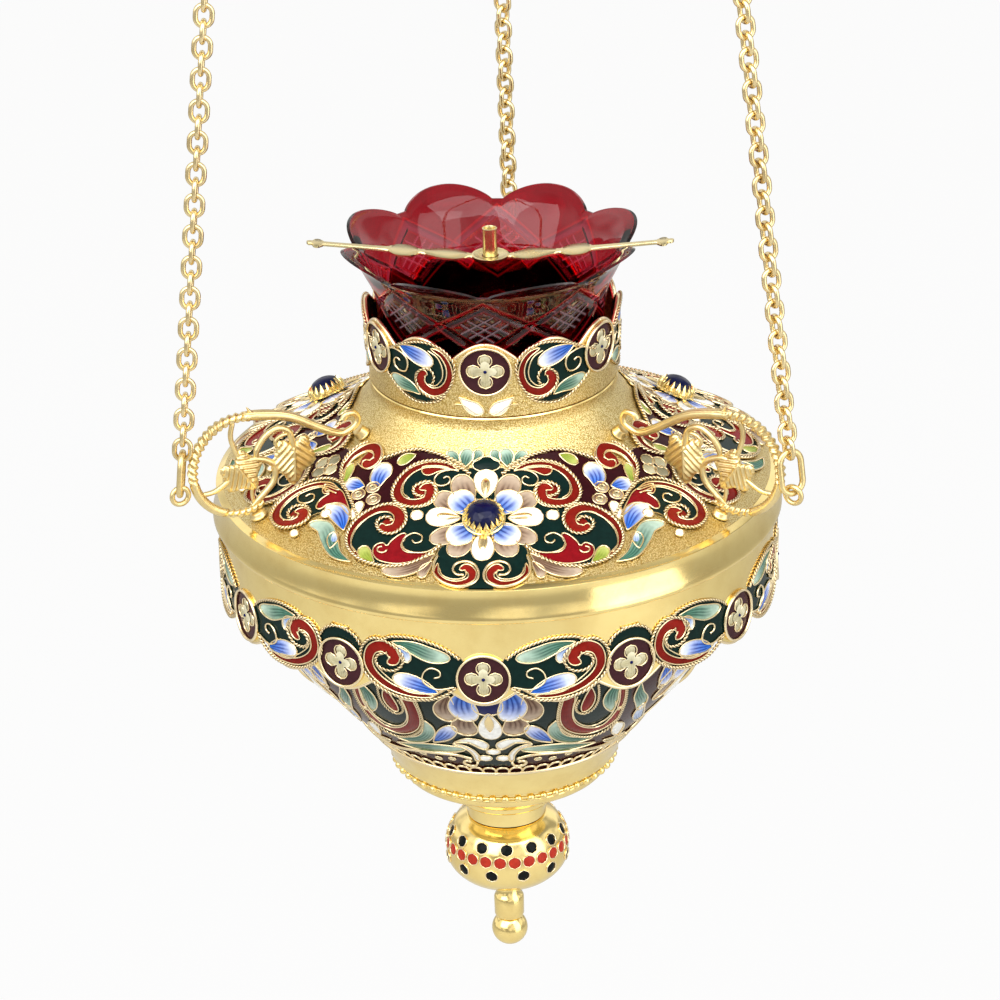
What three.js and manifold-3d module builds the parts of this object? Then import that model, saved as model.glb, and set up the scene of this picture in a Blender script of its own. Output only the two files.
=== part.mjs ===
import * as THREE from 'three';
import { mergeVertices } from 'three/addons/utils/BufferGeometryUtils.js';
import Module from 'manifold-3d';

// A hanging vigil lamp of gilded silver with filigree enamel: a ruby glass cup stands in the neck of a
// round body that hangs on three chains from a small crown with a swivel and a ring.
// Millimetres, +Z up. The origin is the inside top of the hanging ring, where the hook carries it.
// Inside the lamp group heights are measured from the girdle, the groove under the polished band.

// Fits and sheet
const gap = 0.3;                    // left between pieces that touch, are soldered or are clamped
const sheet = 1.0;                  // silver sheet of shoulder, bowl, collar and garland
const enamelDepth = 0.8;            // filigree plate with its enamel

// Shoulder and neck
const girdleRadius = 85;            // outside of the garland, just under the band
const bandLip = 2.1;                // how far the polished band stands out over the girdle
const bandFoot = 0.6;               // height of the band's flat underside
const bandHeight = 11;              // top of the polished band
const bandTopInset = 0.5;           // the band's top edge lies this much outside the girdle radius
const shoulderSlope = 0.434;        // rise of the stippled shoulder for each mm inwards
const neckRadius = 37.5;
const neckFlareRise = 8.5;          // extra rise where the shoulder sweeps up into the neck
const neckFlareLength = 7;
const neckHeight = 3.9;             // plain neck over the flare

// Enamelled shoulder plates, one for each third: edges as degrees from the plate's middle, and mm
const plateOuterInset = [
  [0, 1.2], [5, 0.6], [10, 3.5], [24, 4.5], [33, 7.5],
  [42, 9.5], [50, 6.2], [56, 8], [60, 14],
];
const plateInnerReach = [[0, 3.5], [12, 4.2], [22, 8], [31, 7.2], [41, 6.8], [60, 9]];
const plateColumns = 30;
const plateRows = 4;

// Raised scrolls of twisted wire on the plates and on the bowl. Each is drawn on one half of its plate as
// [degrees from the middle, place]: the share of the way from neck to band, or of the bowl's wall from its foot
const ridgeHalf = 0.7;              // half of a scroll's width
const ridgeHeight = 0.9;
const ridgeRoot = 0.4;              // how deep it is set in the enamel
const plateScrolls = [
  [[10, 0.698], [14.5, 0.823], [21.5, 0.85], [29, 0.81], [34, 0.677], [31.5, 0.51], [25, 0.465], [21.5, 0.573]],
  [[6, 0.194], [14, 0.16], [21.5, 0.215], [28.6, 0.28], [29.4, 0.385], [22, 0.44], [16.4, 0.365]],
  [[36, 0.581], [44, 0.473], [51.5, 0.448], [56.4, 0.552], [54.8, 0.75], [49, 0.79], [47, 0.69]],
];
const bowlScrolls = [
  [[17.4, 0.684], [17.6, 0.542], [20, 0.401], [26.4, 0.304], [34, 0.269], [38, 0.429], [34.6, 0.59]],
  [[8.4, 0.142], [22, 0.158], [38, 0.113], [52, 0.078]],
];

// Cabochons in toothed bezels
const cabochonRadius = 5.2;
const cabochonDome = 3.4;
const bezelWall = 0.6;
const bezelHeight = 3.2;
const cabochonShare = 0.502;        // its place on the way from the neck to the band

// Collar gallery with six medallions and six plates
const collarHeight = 23.5;          // to the top of a scallop
const collarScallop = 5.5;
const collarFlare = 1.0;
const collarLobes = 12;

// Garland with twelve medallions and twelve plates, hanging free under the girdle
const garlandDrop = 26.5;           // to the bottom of a scallop
const garlandScallop = 5;
const garlandLobes = 24;

// Bowl
const bowlDepth = 72.3;
const bowlFootRadius = 37.3;
const bowlBellyDrop = 25;           // the wall starts to turn inwards at about this depth
const bowlHaunchReach = 24.9;       // lower bend of the wall, outside the foot radius
const bowlHaunchDrop = 44;
const bowlFloor = 1.2;
const enamelStart = 0.2;            // where the enamel starts, as a share of the wall's curve

// Turned pendant under the bowl
const baseInset = 0.7;              // the base's top lies this much inside the bowl's foot
const beadSeatDepth = 2;
const beadSeatHeight = 2.8;
const lipProud = 1.5;               // the lip stands this much outside the polished neck
// The base's double curve as [share of the way from lip to seat, mm under the band]
const cyma = [[0.72, 8.2], [0.38, 11], [0.14, 14.4]];
const baseHeight = 28.4;
const baseTaper = 2.2;              // the polished band narrows this much down to the beads
const baseBandHeight = 10.3;
const baseWall = 1.2;
const beadRadius = 1.1;
const beadCount = 56;
const pendantNeckRadius = 12.5;
const pendantNeckHeight = 5.3;
const knopRadius = 19.4;
const knopHeight = 26;
const spacerNeckRadius = 3.8;
const spacerRadius = 4.6;
const spacerHeight = 11.3;
const ballRadius = 5.7;
const ballNeck = 4.4;               // flat top of the ball over its centre
const rodRadius = 2;
const rodBlindDepth = 4.6;          // blind hole in the ball
const washerRadius = 6;
const washerHeight = 1;
const nutRadius = 4.6;
const nutHeight = 4;

// Glass cup with eight lobes, and the ring in the neck that carries it
const cupWall = 3;
const cupFloorHeight = 13;          // underside of the cup
const cupFloor = 4.5;
const cupFootRadius = 26.5;
const cupSeatRadius = 32;           // outside, at the seat
const cupWaistRadius = 33.5;        // outside, inside the collar
const cupThroatRadius = 35.2;       // outside, just over the collar
const cupNotchRadius = 41.3;        // outside, at the bottom of a notch
const cupTipRadius = 46;            // outside, at the tip of a lobe
const cupNotchHeight = 83.6;
const cupTipHeight = 87.8;
const cupLobes = 8;
const cupHipDrop = 14;              // the foot's round ends this far under the seat
const cupHipInset = 1.6;
const cupWaistRise = 17;            // waist and throat over the seat
const cupThroatRise = 28;
const cupMouthDrop = 5;             // the mouth starts to open this far under the notches
const cupMouthReach = 3.2;
const seatHeight = 2.4;

// Float: a pierced strip that lies in two opposite notches, and its wick tube
const stripReach = 55;
const stripThickness = 0.8;
const stripRise = 0.093;            // the arms rise this much for each mm outwards
const stripHalfWidth = 1.2;
const stripLeafHalfWidth = 3.3;
const dishRadius = 5.6;
const tubeRadius = 2.25;
const tubeBore = 1.7;
const tubeHeight = 10;
const tubeBelowDish = 1;

// Handles, each in an upright plane through the lamp's axis
const loopRadius = 15.3;
const loopInset = 0.4;              // the loop's centre lies this much inside the girdle radius
const frameHalf = 1.4;              // half of the frame's thickness in its plane
const frameHalfDepth = 1.5;         // half of its thickness across
const frameEndHalf = 0.9;           // it thins out to this at its lower foot and at the curl
const lowerFootLength = 1.8;
const upperFootLength = 2.6;
const lowerFootRadius = 2.6;
const upperFootRadius = 2.2;
const upperFootReach = 6.5;         // outside the neck radius
const vineHalf = 0.9;
const leafSize = 7.6;
const leafThickness = 1.6;

// Eyes, links and chains
const eyeRadius = 2.6;              // centreline
const eyeWire = 0.8;                // wire radius, as on all rings below
const eyeAngle = -16;               // degrees under the loop's centre
const largeLinkWidth = 9;           // outer
const largeLinkLength = 15;         // outer
const largeLinkWire = 0.95;
const linkWidth = 6.3;              // outer
const linkLength = 7.8;             // outer
const linkWire = 0.775;
const linkPitch = 4.72;
const linkCount = 33;
const linkTurn = -30;               // degrees, of the large link from the tangent plane
const chainLean = 6.28;             // degrees, of each chain towards the axis
const topRingRadius = 3.6;
const topRingWire = 0.9;

// Crown, swivel and hanging ring
const armEyeRadius = 3.1;
const armEyeWire = 1.1;
const armRise = 9;                  // middle of the boss over the arms' eyes
const armRootHalf = 2.6;
const armTipHalf = 1.3;
const bossRadius = 9;
const bossHeight = 10;
const bowRadius = 7;
const bowWire = 1.5;
const shankRadius = 2;
const swivelNutRadius = 4.6;
const swivelNutHeight = 4;
const hangingRingBore = 13;
const hangingRingWire = 1.8;

// The three thirds: azimuth of each handle; its plate's middle lies a sixth of a turn further on
const handleAzimuths = [210, 330, 90];
const plateTurn = 60;
const turned = 24;                  // facets of the turned pieces
const spun = 32;                    // facets of the spun shells

// Heights and radii that follow
const bandTopRadius = girdleRadius + bandTopInset;
const garlandInner = girdleRadius - sheet;
const bowlRimRadius = garlandInner - gap;
const neckTop = shoulderHeight(neckRadius) + neckHeight;
const floorUnderside = -bowlDepth - 0.5;
const baseTop = floorUnderside - gap;
const baseBottom = baseTop - baseHeight;
const pendantNeckTop = baseBottom - gap;
const knopTop = pendantNeckTop - pendantNeckHeight - gap;
const spacerTop = knopTop - knopHeight - gap;
const ballTop = spacerTop - spacerHeight - gap;
const ballCentre = ballTop - ballNeck;
const rodBore = rodRadius + gap;
const seatTop = neckTop - 1;

const radians = THREE.MathUtils.degToRad;
const wasm = await Module();
wasm.setup();

const gilt = { color: 0xd9ac4e, roughness: 0.28, metalness: 1 };
const stippledGilt = { color: 0xc99a35, roughness: 0.5, metalness: 1 };
const greenEnamel = { color: 0x16332f, roughness: 0.2, metalness: 0.1 };
const steel = { color: 0x9c9a94, roughness: 0.4, metalness: 1 };
const rubyGlass = { color: 0x6d0d1d, roughness: 0.05, metalness: 0 };
const blueStone = { color: 0x10163a, roughness: 0.08, metalness: 0 };

// Shoulder's height at a radius: a straight slope that sweeps up into the neck
function shoulderHeight(radius) {
  const slope = shoulderSlope * (girdleRadius + bandTopInset - radius);
  return bandHeight + slope + neckFlareRise * Math.exp((neckRadius - radius) / neckFlareLength);
}

// Upward normal of the shoulder in the plane of radius and height
function shoulderNormal(radius) {
  const flare = neckFlareRise / neckFlareLength * Math.exp((neckRadius - radius) / neckFlareLength);
  return new THREE.Vector2(shoulderSlope + flare, 1).normalize();
}

// Point over the shoulder, lifted along its normal
function overShoulder(radius, lift) {
  const base = new THREE.Vector2(radius, shoulderHeight(radius));
  return base.addScaledVector(shoulderNormal(radius), lift);
}

// Distance from the axis at a share of the way from the neck to the band
function acrossShoulder(share) {
  return THREE.MathUtils.lerp(neckRadius, bandTopRadius, share);
}

// Value at a place along a list of [place, value] pairs
function along(pairs, place) {
  for (let step = 1; step < pairs.length; step += 1) {
    const [before, low] = pairs[step - 1];
    const [after, high] = pairs[step];
    if (place <= after) {
      return THREE.MathUtils.mapLinear(place, before, after, low, high);
    }
  }
  return pairs[pairs.length - 1][1];
}

// Welds a geometry, drops collapsed triangles and turns its faces outwards
function sealed(geometry) {
  geometry.deleteAttribute('normal');
  geometry.deleteAttribute('uv');
  const welded = mergeVertices(geometry, 1e-4);
  const position = welded.getAttribute('position');
  const source = welded.getIndex().array;
  const kept = [];
  let volume = 0;
  const a = new THREE.Vector3();
  const b = new THREE.Vector3();
  const c = new THREE.Vector3();
  for (let corner = 0; corner < source.length; corner += 3) {
    const [first, second, third] = source.slice(corner, corner + 3);
    if (first !== second && second !== third && third !== first) {
      kept.push(first, second, third);
      a.fromBufferAttribute(position, first);
      b.fromBufferAttribute(position, second);
      c.fromBufferAttribute(position, third);
      volume += a.dot(b.cross(c));
    }
  }
  if (volume < 0) {
    kept.reverse();
  }
  welded.setIndex(kept);
  return welded;
}

// Joins rings of points into one closed skin; a run that isn't closed gets flat ends
function skin(rings, closed) {
  const count = rings[0].length;
  const positions = rings.flat().flatMap((point) => point.toArray());
  const indices = [];
  const runs = closed ? rings.length : rings.length - 1;
  for (let run = 0; run < runs; run += 1) {
    const here = run * count;
    const next = ((run + 1) % rings.length) * count;
    for (let side = 0; side < count; side += 1) {
      const after = (side + 1) % count;
      indices.push(here + side, next + side, next + after);
      indices.push(here + side, next + after, here + after);
    }
  }
  if (!closed) {
    const last = (rings.length - 1) * count;
    for (let side = 0; side < count / 2 - 1; side += 1) {
      const far = count - 1 - side;
      indices.push(side, side + 1, far - 1, side, far - 1, far);
      indices.push(last + side, last + far - 1, last + side + 1, last + side, last + far, last + far - 1);
    }
  }
  const geometry = new THREE.BufferGeometry();
  geometry.setAttribute('position', new THREE.Float32BufferAttribute(positions, 3));
  geometry.setIndex(indices);
  return sealed(geometry);
}

// Turned piece from a profile of [radius, height] pairs; hollow ones close on themselves
function turnedPiece(profile, segments = turned) {
  const points = profile.map(([radius, height]) => new THREE.Vector2(radius, height));
  return sealed(new THREE.LatheGeometry(points, segments).rotateX(Math.PI / 2));
}

function turnedRing(profile, segments = turned) {
  return turnedPiece([...profile, profile[0]], segments);
}

// Point on the lamp at an azimuth in degrees
function around(radius, azimuth, height) {
  return new THREE.Vector3(radius * Math.cos(radians(azimuth)), radius * Math.sin(radians(azimuth)), height);
}

// Tube along a path in the upright plane y = 0; half sizes in the plane and across it may change on the way
function planarTube(path, halfAt, halfDepthAt, sides, closed = false) {
  const rings = path.map((point, step) => {
    const before = path[closed ? (step + path.length - 1) % path.length : Math.max(step - 1, 0)];
    const after = path[closed ? (step + 1) % path.length : Math.min(step + 1, path.length - 1)];
    const direction = after.clone().sub(before).normalize();
    const share = step / (path.length - 1);
    const ring = [];
    for (let side = 0; side < sides; side += 1) {
      const turn = (side + 0.5) / sides * 2 * Math.PI;
      const out = halfAt(share) * Math.cos(turn);
      const across = halfDepthAt(share) * Math.sin(turn);
      ring.push(new THREE.Vector3(point.x - direction.y * out, across, point.y + direction.x * out));
    }
    return ring;
  });
  return skin(rings, closed);
}

function roundTube(path, radius, sides, closed = false) {
  return planarTube(path, () => radius, () => radius, sides, closed);
}

function smoothPath(points, steps) {
  return new THREE.SplineCurve(points).getPoints(steps);
}

// Long link in the plane y = 0, middle at the origin, drawn as two half circles joined by straight sides
function linkSolid(width, length, wire, stepsRound, sides) {
  const half = width / 2 - wire;
  const straight = length / 2 - width / 2;
  const path = [];
  for (let step = 0; step <= stepsRound; step += 1) {
    const turn = step / stepsRound * Math.PI;
    path.push(new THREE.Vector2(half * Math.cos(turn), straight + half * Math.sin(turn)));
  }
  for (let step = 0; step <= stepsRound; step += 1) {
    const turn = Math.PI + step / stepsRound * Math.PI;
    path.push(new THREE.Vector2(half * Math.cos(turn), -straight + half * Math.sin(turn)));
  }
  return roundTube(path, wire, sides, true);
}

function ringSolid(radius, wire, sides, steps) {
  return sealed(new THREE.TorusGeometry(radius, wire, sides, steps).rotateX(Math.PI / 2));
}

function toSolid(geometry) {
  const vertProperties = new Float32Array(geometry.getAttribute('position').array);
  const triVerts = new Uint32Array(geometry.getIndex().array);
  return new wasm.Manifold(new wasm.Mesh({ numProp: 3, vertProperties, triVerts }));
}

// One casting from several overlapping shapes
function joined(geometries) {
  const solids = geometries.map(toSolid);
  const whole = solids.slice(1).reduce((sum, solid) => sum.add(solid), solids[0]);
  const mesh = whole.getMesh();
  const geometry = new THREE.BufferGeometry();
  geometry.setAttribute('position', new THREE.Float32BufferAttribute(mesh.vertProperties, 3));
  geometry.setIndex(Array.from(mesh.triVerts));
  return geometry;
}

function piece(parent, name, geometry, material) {
  const mesh = new THREE.Mesh(geometry, new THREE.MeshStandardMaterial(material));
  mesh.name = name;
  parent.add(mesh);
  return mesh;
}

// Shoulder shell: plain neck, stippled slope and polished girdle band, spun from one sheet
function shoulderShell() {
  const slopeSteps = 6;
  const radii = [];
  for (let step = 0; step <= slopeSteps; step += 1) {
    radii.push(neckRadius + (bandTopRadius - neckRadius) * (step / slopeSteps) ** 1.5);
  }
  const outer = radii.map((radius) => [radius, shoulderHeight(radius)]);
  const inner = radii.slice(1).reverse().map((radius) => overShoulder(radius, -sheet).toArray());
  const lip = girdleRadius + bandLip;
  const footInner = bowlRimRadius - sheet - gap;
  return turnedRing([
    [neckRadius, neckTop],
    ...outer,
    [lip, bandFoot + sheet],
    [lip, bandFoot],
    [footInner, bandFoot],
    [footInner, bandFoot + sheet],
    [lip - 1.6 * sheet, bandFoot + sheet],
    ...inner,
    [neckRadius - sheet, shoulderHeight(neckRadius) - sheet],
    [neckRadius - sheet, neckTop],
  ], spun);
}

// Enamelled plate for one third of the shoulder, with the outline of its scrolls
function shoulderPlate() {
  const rows = plateRows;
  const seam = gap / 2 / neckRadius * 180 / Math.PI;
  const reach = 60 - seam;
  const rings = [];
  for (let column = 0; column <= plateColumns; column += 1) {
    const angle = THREE.MathUtils.lerp(-reach, reach, column / plateColumns);
    const outerEdge = bandTopRadius - along(plateOuterInset, Math.abs(angle));
    const innerEdge = neckRadius + along(plateInnerReach, Math.abs(angle));
    const top = [];
    const bottom = [];
    for (let row = 0; row <= rows; row += 1) {
      const radius = THREE.MathUtils.lerp(innerEdge, outerEdge, row / rows);
      const high = overShoulder(radius, gap + enamelDepth);
      const low = overShoulder(radius, gap);
      top.push(around(high.x, angle, high.y));
      bottom.unshift(around(low.x, angle, low.y));
    }
    rings.push([...top, ...bottom]);
  }
  const onPlate = (turn, share, lift) => {
    const spot = overShoulder(acrossShoulder(share), gap + enamelDepth + lift);
    return around(spot.x, turn, spot.y);
  };
  return joined([skin(rings, false), ...mirroredRidges(plateScrolls, onPlate)]);
}

// Raised scrolls on both halves of a plate: low ridges with sloping sides, laid on a surface
function mirroredRidges(scrolls, surface) {
  return scrolls.flatMap((scroll) => [1, -1].map((hand) => {
    const steps = scroll.length - 1;
    const line = smoothPath(scroll.map(([turn, place]) => new THREE.Vector2(hand * turn, place)), steps);
    const rings = line.map((spot, step) => {
      const before = line[Math.max(step - 1, 0)];
      const after = line[Math.min(step + 1, steps)];
      const low = surface(spot.x, spot.y, 0);
      const normal = surface(spot.x, spot.y, 1).sub(low);
      const forward = surface(after.x, after.y, 0).sub(surface(before.x, before.y, 0)).normalize();
      const side = forward.cross(normal);
      const corner = (across, up) => low.clone().addScaledVector(side, across).addScaledVector(normal, up);
      return [
        corner(-ridgeHalf, -ridgeRoot),
        corner(-ridgeHalf / 2, ridgeHeight),
        corner(ridgeHalf / 2, ridgeHeight),
        corner(ridgeHalf, -ridgeRoot),
      ];
    });
    return skin(rings, false);
  }));
}

// Bezel: a shallow cup with its wall round the stone; local axis along the shoulder's normal
function bezel() {
  const outer = cabochonRadius + gap + bezelWall;
  return turnedPiece([
    [0, 0],
    [outer, 0],
    [outer, bezelHeight],
    [outer - bezelWall, bezelHeight],
    [outer - bezelWall, bezelWall],
    [0, bezelWall],
  ], 16);
}

// Cabochon: a low dome on a straight girdle, seated in the bezel
function cabochon() {
  const base = bezelWall + gap;
  const side = bezelHeight - base;
  const profile = [[0, base], [cabochonRadius, base]];
  for (let step = 0; step <= 4; step += 1) {
    const turn = step / 4 * Math.PI / 2;
    profile.push([cabochonRadius * Math.cos(turn), base + side + cabochonDome * Math.sin(turn)]);
  }
  profile[profile.length - 1][0] = 0;
  return turnedPiece(profile, 16);
}

// Thin upright wall right round the lamp whose free edge swells into round lobes
function scallopedWall(samples, foot, edge) {
  const rings = [];
  for (let sample = 0; sample < samples; sample += 1) {
    const azimuth = sample / samples * 360;
    const [footRadius, footHeight] = foot;
    const [edgeRadius, edgeHeight] = edge(azimuth);
    rings.push([
      around(footRadius, azimuth, footHeight),
      around(edgeRadius, azimuth, edgeHeight),
      around(edgeRadius - sheet, azimuth, edgeHeight),
      around(footRadius - sheet, azimuth, footHeight),
    ]);
  }
  return skin(rings, true);
}

function lobe(azimuth, lobes) {
  return Math.abs(Math.cos(radians(azimuth - 270) * lobes / 2));
}

function collarGallery() {
  const foot = neckTop + gap;
  return scallopedWall(collarLobes * 6, [neckRadius, foot], (azimuth) => {
    const height = foot + collarHeight - collarScallop * (1 - lobe(azimuth, collarLobes));
    return [neckRadius + collarFlare, height];
  });
}

function garlandBand() {
  const top = bandFoot - gap;
  return scallopedWall(garlandLobes * 4, [girdleRadius, top], (azimuth) => {
    return [girdleRadius, -garlandDrop + garlandScallop * (1 - lobe(azimuth, garlandLobes))];
  });
}

// The bowl's wall as [radius, height], at a share of its curve and a depth under its visible skin
const bowlCurve = new THREE.CubicBezierCurve(
  new THREE.Vector2(bowlRimRadius, -3),
  new THREE.Vector2(bowlRimRadius - 1.5, -bowlBellyDrop),
  new THREE.Vector2(bowlFootRadius + bowlHaunchReach, -bowlHaunchDrop),
  new THREE.Vector2(bowlFootRadius, -bowlDepth),
);

function bowlWall(share, depth) {
  const point = bowlCurve.getPoint(share);
  const tangent = bowlCurve.getTangent(share);
  return [point.x + tangent.y * depth, point.y - tangent.x * depth];
}

function bowlRun(from, to, steps, depth) {
  const run = [];
  for (let step = 0; step <= steps; step += 1) {
    run.push(bowlWall(THREE.MathUtils.lerp(from, to, step / steps), depth));
  }
  return run;
}

// Bowl shell: a thick rim under the girdle, then a recess that holds the enamel, and a flat floor
function bowlShell() {
  const recess = enamelDepth + gap;
  const inside = recess + sheet;
  const stepShare = enamelStart - 0.005;
  const footRadius = bowlWall(1, recess)[0];
  const floorTop = floorUnderside + bowlFloor;
  return turnedRing([
    [bowlRimRadius, bandFoot - gap],
    ...bowlRun(0, stepShare, 2, 0),
    ...bowlRun(stepShare, 1, 5, recess),
    [footRadius, floorUnderside],
    [rodBore, floorUnderside],
    [rodBore, floorTop],
    [bowlWall(0.98, inside)[0] - 0.3, floorTop],
    ...bowlRun(0.96, 0, 5, inside),
    [bowlRimRadius - inside, bandFoot - gap],
  ], spun);
}

// Enamel layer in the bowl's recess
function bowlEnamel() {
  const layer = turnedRing([
    ...bowlRun(enamelStart, 1, 5, 0),
    ...bowlRun(1, enamelStart, 5, enamelDepth),
  ], spun);
  const ridges = [270, 30, 150].flatMap((middle) => mirroredRidges(bowlScrolls, (turn, share, lift) => {
    const [radius, height] = bowlWall(bowlCurve.getUtoTmapping(1 - share), -lift);
    return around(radius, middle + turn, height);
  }));
  return joined([layer, ...ridges]);
}

// Base moulding: polished band, seat for the beads and a cyma down to the lip, spun as a cup
function baseMoulding() {
  const top = bowlFootRadius - baseInset;
  const beadSeat = top - baseTaper - beadSeatDepth;
  const lip = pendantNeckRadius + lipProud;
  const bandEnd = baseTop - baseBandHeight;
  const step = bandEnd - gap;
  const outer = [
    [top, baseTop],
    [top - baseTaper, bandEnd],
    [beadSeat, step],
    [beadSeat, bandEnd - beadSeatHeight],
    [beadSeat + baseWall / 2, bandEnd - beadSeatHeight - baseWall / 2],
    [beadSeat - baseWall / 2, bandEnd - beadSeatHeight * 2],
    ...cyma.map(([share, drop]) => [THREE.MathUtils.lerp(lip, beadSeat, share), bandEnd - drop]),
    [lip + baseWall / 2, baseBottom + baseWall],
    [lip, baseBottom],
  ];
  const inner = outer.slice(0, -2).reverse().map(([radius, height]) => [radius - baseWall, height + 0.2]);
  inner[inner.length - 1][1] = baseTop;
  return turnedRing([...outer, [rodBore, baseBottom], [rodBore, baseBottom + baseWall], ...inner]);
}

// Row of small beads soldered in the base's seat, as one beaded wire
function beadRing() {
  const radius = bowlFootRadius - baseInset - baseTaper - beadSeatDepth + gap + beadRadius;
  const height = baseTop - baseBandHeight - (gap + beadSeatHeight) / 2;
  const rings = [];
  for (let sample = 0; sample < beadCount * 2; sample += 1) {
    const azimuth = sample / beadCount / 2 * 360;
    const half = sample % 2 === 0 ? beadRadius : beadRadius * 0.6;
    rings.push([
      around(radius + half, azimuth, height),
      around(radius, azimuth, height + half),
      around(radius - half, azimuth, height),
      around(radius, azimuth, height - half),
    ]);
  }
  return skin(rings, true);
}

function polishedNeck() {
  const bottom = pendantNeckTop - pendantNeckHeight;
  return turnedRing([
    [rodBore, pendantNeckTop],
    [pendantNeckRadius, pendantNeckTop],
    [pendantNeckRadius, bottom],
    [rodBore, bottom],
  ]);
}

// Knop: full above the middle, drawn in to a point below
function knop() {
  const rise = (share, radius) => [radius, knopTop - knopHeight * share];
  const tip = spacerNeckRadius + 0.6;
  return turnedRing([
    rise(0, rodBore),
    rise(0, pendantNeckRadius),
    rise(0.11, THREE.MathUtils.lerp(pendantNeckRadius, knopRadius, 0.58)),
    rise(0.28, knopRadius - 0.6),
    rise(0.48, knopRadius),
    rise(0.65, THREE.MathUtils.lerp(tip, knopRadius, 0.93)),
    rise(0.8, THREE.MathUtils.lerp(tip, knopRadius, 0.7)),
    rise(0.92, THREE.MathUtils.lerp(tip, knopRadius, 0.34)),
    rise(1, tip),
    rise(1, rodBore),
  ]);
}

function spacer() {
  const shoulder = spacerTop - spacerHeight * 0.3;
  const bottom = spacerTop - spacerHeight;
  return turnedRing([
    [rodBore, spacerTop],
    [spacerNeckRadius, spacerTop],
    [spacerNeckRadius, shoulder],
    [spacerRadius, shoulder - 0.6],
    [spacerRadius, bottom],
    [rodBore, bottom],
  ], 16);
}

// Ball at the very bottom, tapped from above for the rod
function ballFinial() {
  const profile = [[0, ballTop - rodBlindDepth], [rodBore, ballTop - rodBlindDepth], [rodBore, ballTop]];
  const start = Math.asin(ballNeck / ballRadius);
  for (let step = 0; step <= 6; step += 1) {
    const turn = THREE.MathUtils.lerp(start, -Math.PI / 2, step / 6);
    profile.push([ballRadius * Math.cos(turn), ballCentre + ballRadius * Math.sin(turn)]);
  }
  profile[profile.length - 1][0] = 0;
  return turnedPiece(profile, 16);
}

// The rod, washer and nut that clamp the pendant under the bowl's floor
function addTieRod(parent) {
  const washerBottom = floorUnderside + bowlFloor + gap;
  const nutBottom = washerBottom + washerHeight + gap;
  const rodTop = nutBottom + nutHeight + 2;
  const rodBottom = ballTop - rodBlindDepth + gap;
  const rod = turnedPiece([[0, rodBottom], [rodRadius, rodBottom], [rodRadius, rodTop], [0, rodTop]], 16);
  piece(parent, 'tie_rod', rod, steel);
  piece(parent, 'rod_washer', washer(washerRadius, washerBottom, washerHeight, 12), steel);
  piece(parent, 'rod_nut', washer(nutRadius, nutBottom, nutHeight, 6), steel);
}

// Flat ring or nut on the rod; six facets make the nut, so its bore keeps clear of the rod at the flats
function washer(radius, bottom, height, facets) {
  const bore = rodBore / Math.cos(Math.PI / facets);
  return turnedRing([[bore, bottom], [radius, bottom], [radius, bottom + height], [bore, bottom + height]], facets);
}

// Outside of the cup: radius at a height, from its foot to the tip of a lobe
const cupProfile = new THREE.SplineCurve([
  new THREE.Vector2(cupFootRadius, cupFloorHeight),
  new THREE.Vector2(cupSeatRadius - cupHipInset, seatTop - cupHipDrop),
  new THREE.Vector2(cupSeatRadius, seatTop),
  new THREE.Vector2(cupWaistRadius, seatTop + cupWaistRise),
  new THREE.Vector2(cupThroatRadius, seatTop + cupThroatRise),
  new THREE.Vector2(cupThroatRadius + cupMouthReach, cupNotchHeight - cupMouthDrop),
  new THREE.Vector2(cupNotchRadius, cupNotchHeight),
  new THREE.Vector2(cupTipRadius, cupTipHeight),
]);
const cupHeights = cupProfile.getPoints(160).map((point) => [point.y, point.x]);

function cupRadius(height) {
  return along(cupHeights, height);
}

// Height of the rim: flat seats at the notches, round lobes between them
function cupRim(azimuth) {
  const flat = 0.17;
  const swell = Math.abs(Math.sin(radians(azimuth) * cupLobes / 2));
  const rise = Math.max(0, (swell - flat) / (1 - flat));
  return cupNotchHeight + (cupTipHeight - cupNotchHeight) * rise ** 0.8;
}

function glassCup() {
  const lobeDegrees = 360 / cupLobes;
  const offsets = [0, 2.4, 7, 13, 22.5, 32, 38, 42.6].map((offset) => offset * lobeDegrees / 45);
  const insideFloor = cupFloorHeight + cupFloor;
  const rings = [];
  for (let index = 0; index < cupLobes * offsets.length; index += 1) {
    const lobeStart = Math.floor(index / offsets.length) * lobeDegrees;
    const azimuth = lobeStart + offsets[index % offsets.length];
    const rim = cupRim(azimuth);
    const waist = seatTop + cupWaistRise;
    const throat = seatTop + cupThroatRise;
    const bend = THREE.MathUtils.lerp(throat, rim, 0.6);
    const outside = [cupFloorHeight, seatTop, waist, throat, bend, rim];
    const inside = [rim, bend, throat, waist, seatTop, insideFloor];
    rings.push([
      around(0, 0, cupFloorHeight),
      ...outside.map((height) => around(cupRadius(height), azimuth, height)),
      ...inside.map((height) => around(cupRadius(height) - cupWall, azimuth, height)),
      around(0, 0, insideFloor),
    ]);
  }
  return skin(rings, true);
}

// Ring soldered inside the neck; the cup hangs in it by its taper
function glassSeat() {
  const outer = neckRadius - sheet - gap;
  const bottom = seatTop - seatHeight;
  const inner = (height) => (cupRadius(height) + gap) / Math.cos(Math.PI / spun);
  return turnedRing([
    [inner(bottom), bottom],
    [outer, bottom],
    [outer, seatTop],
    [inner(seatTop), seatTop],
  ], spun);
}

// Middle of the strip's thickness at a distance from the lamp's axis
function stripHeight(distance) {
  const atNotch = cupNotchHeight + gap + stripThickness / 2;
  return atNotch + stripRise * (distance - cupNotchRadius);
}

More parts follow.
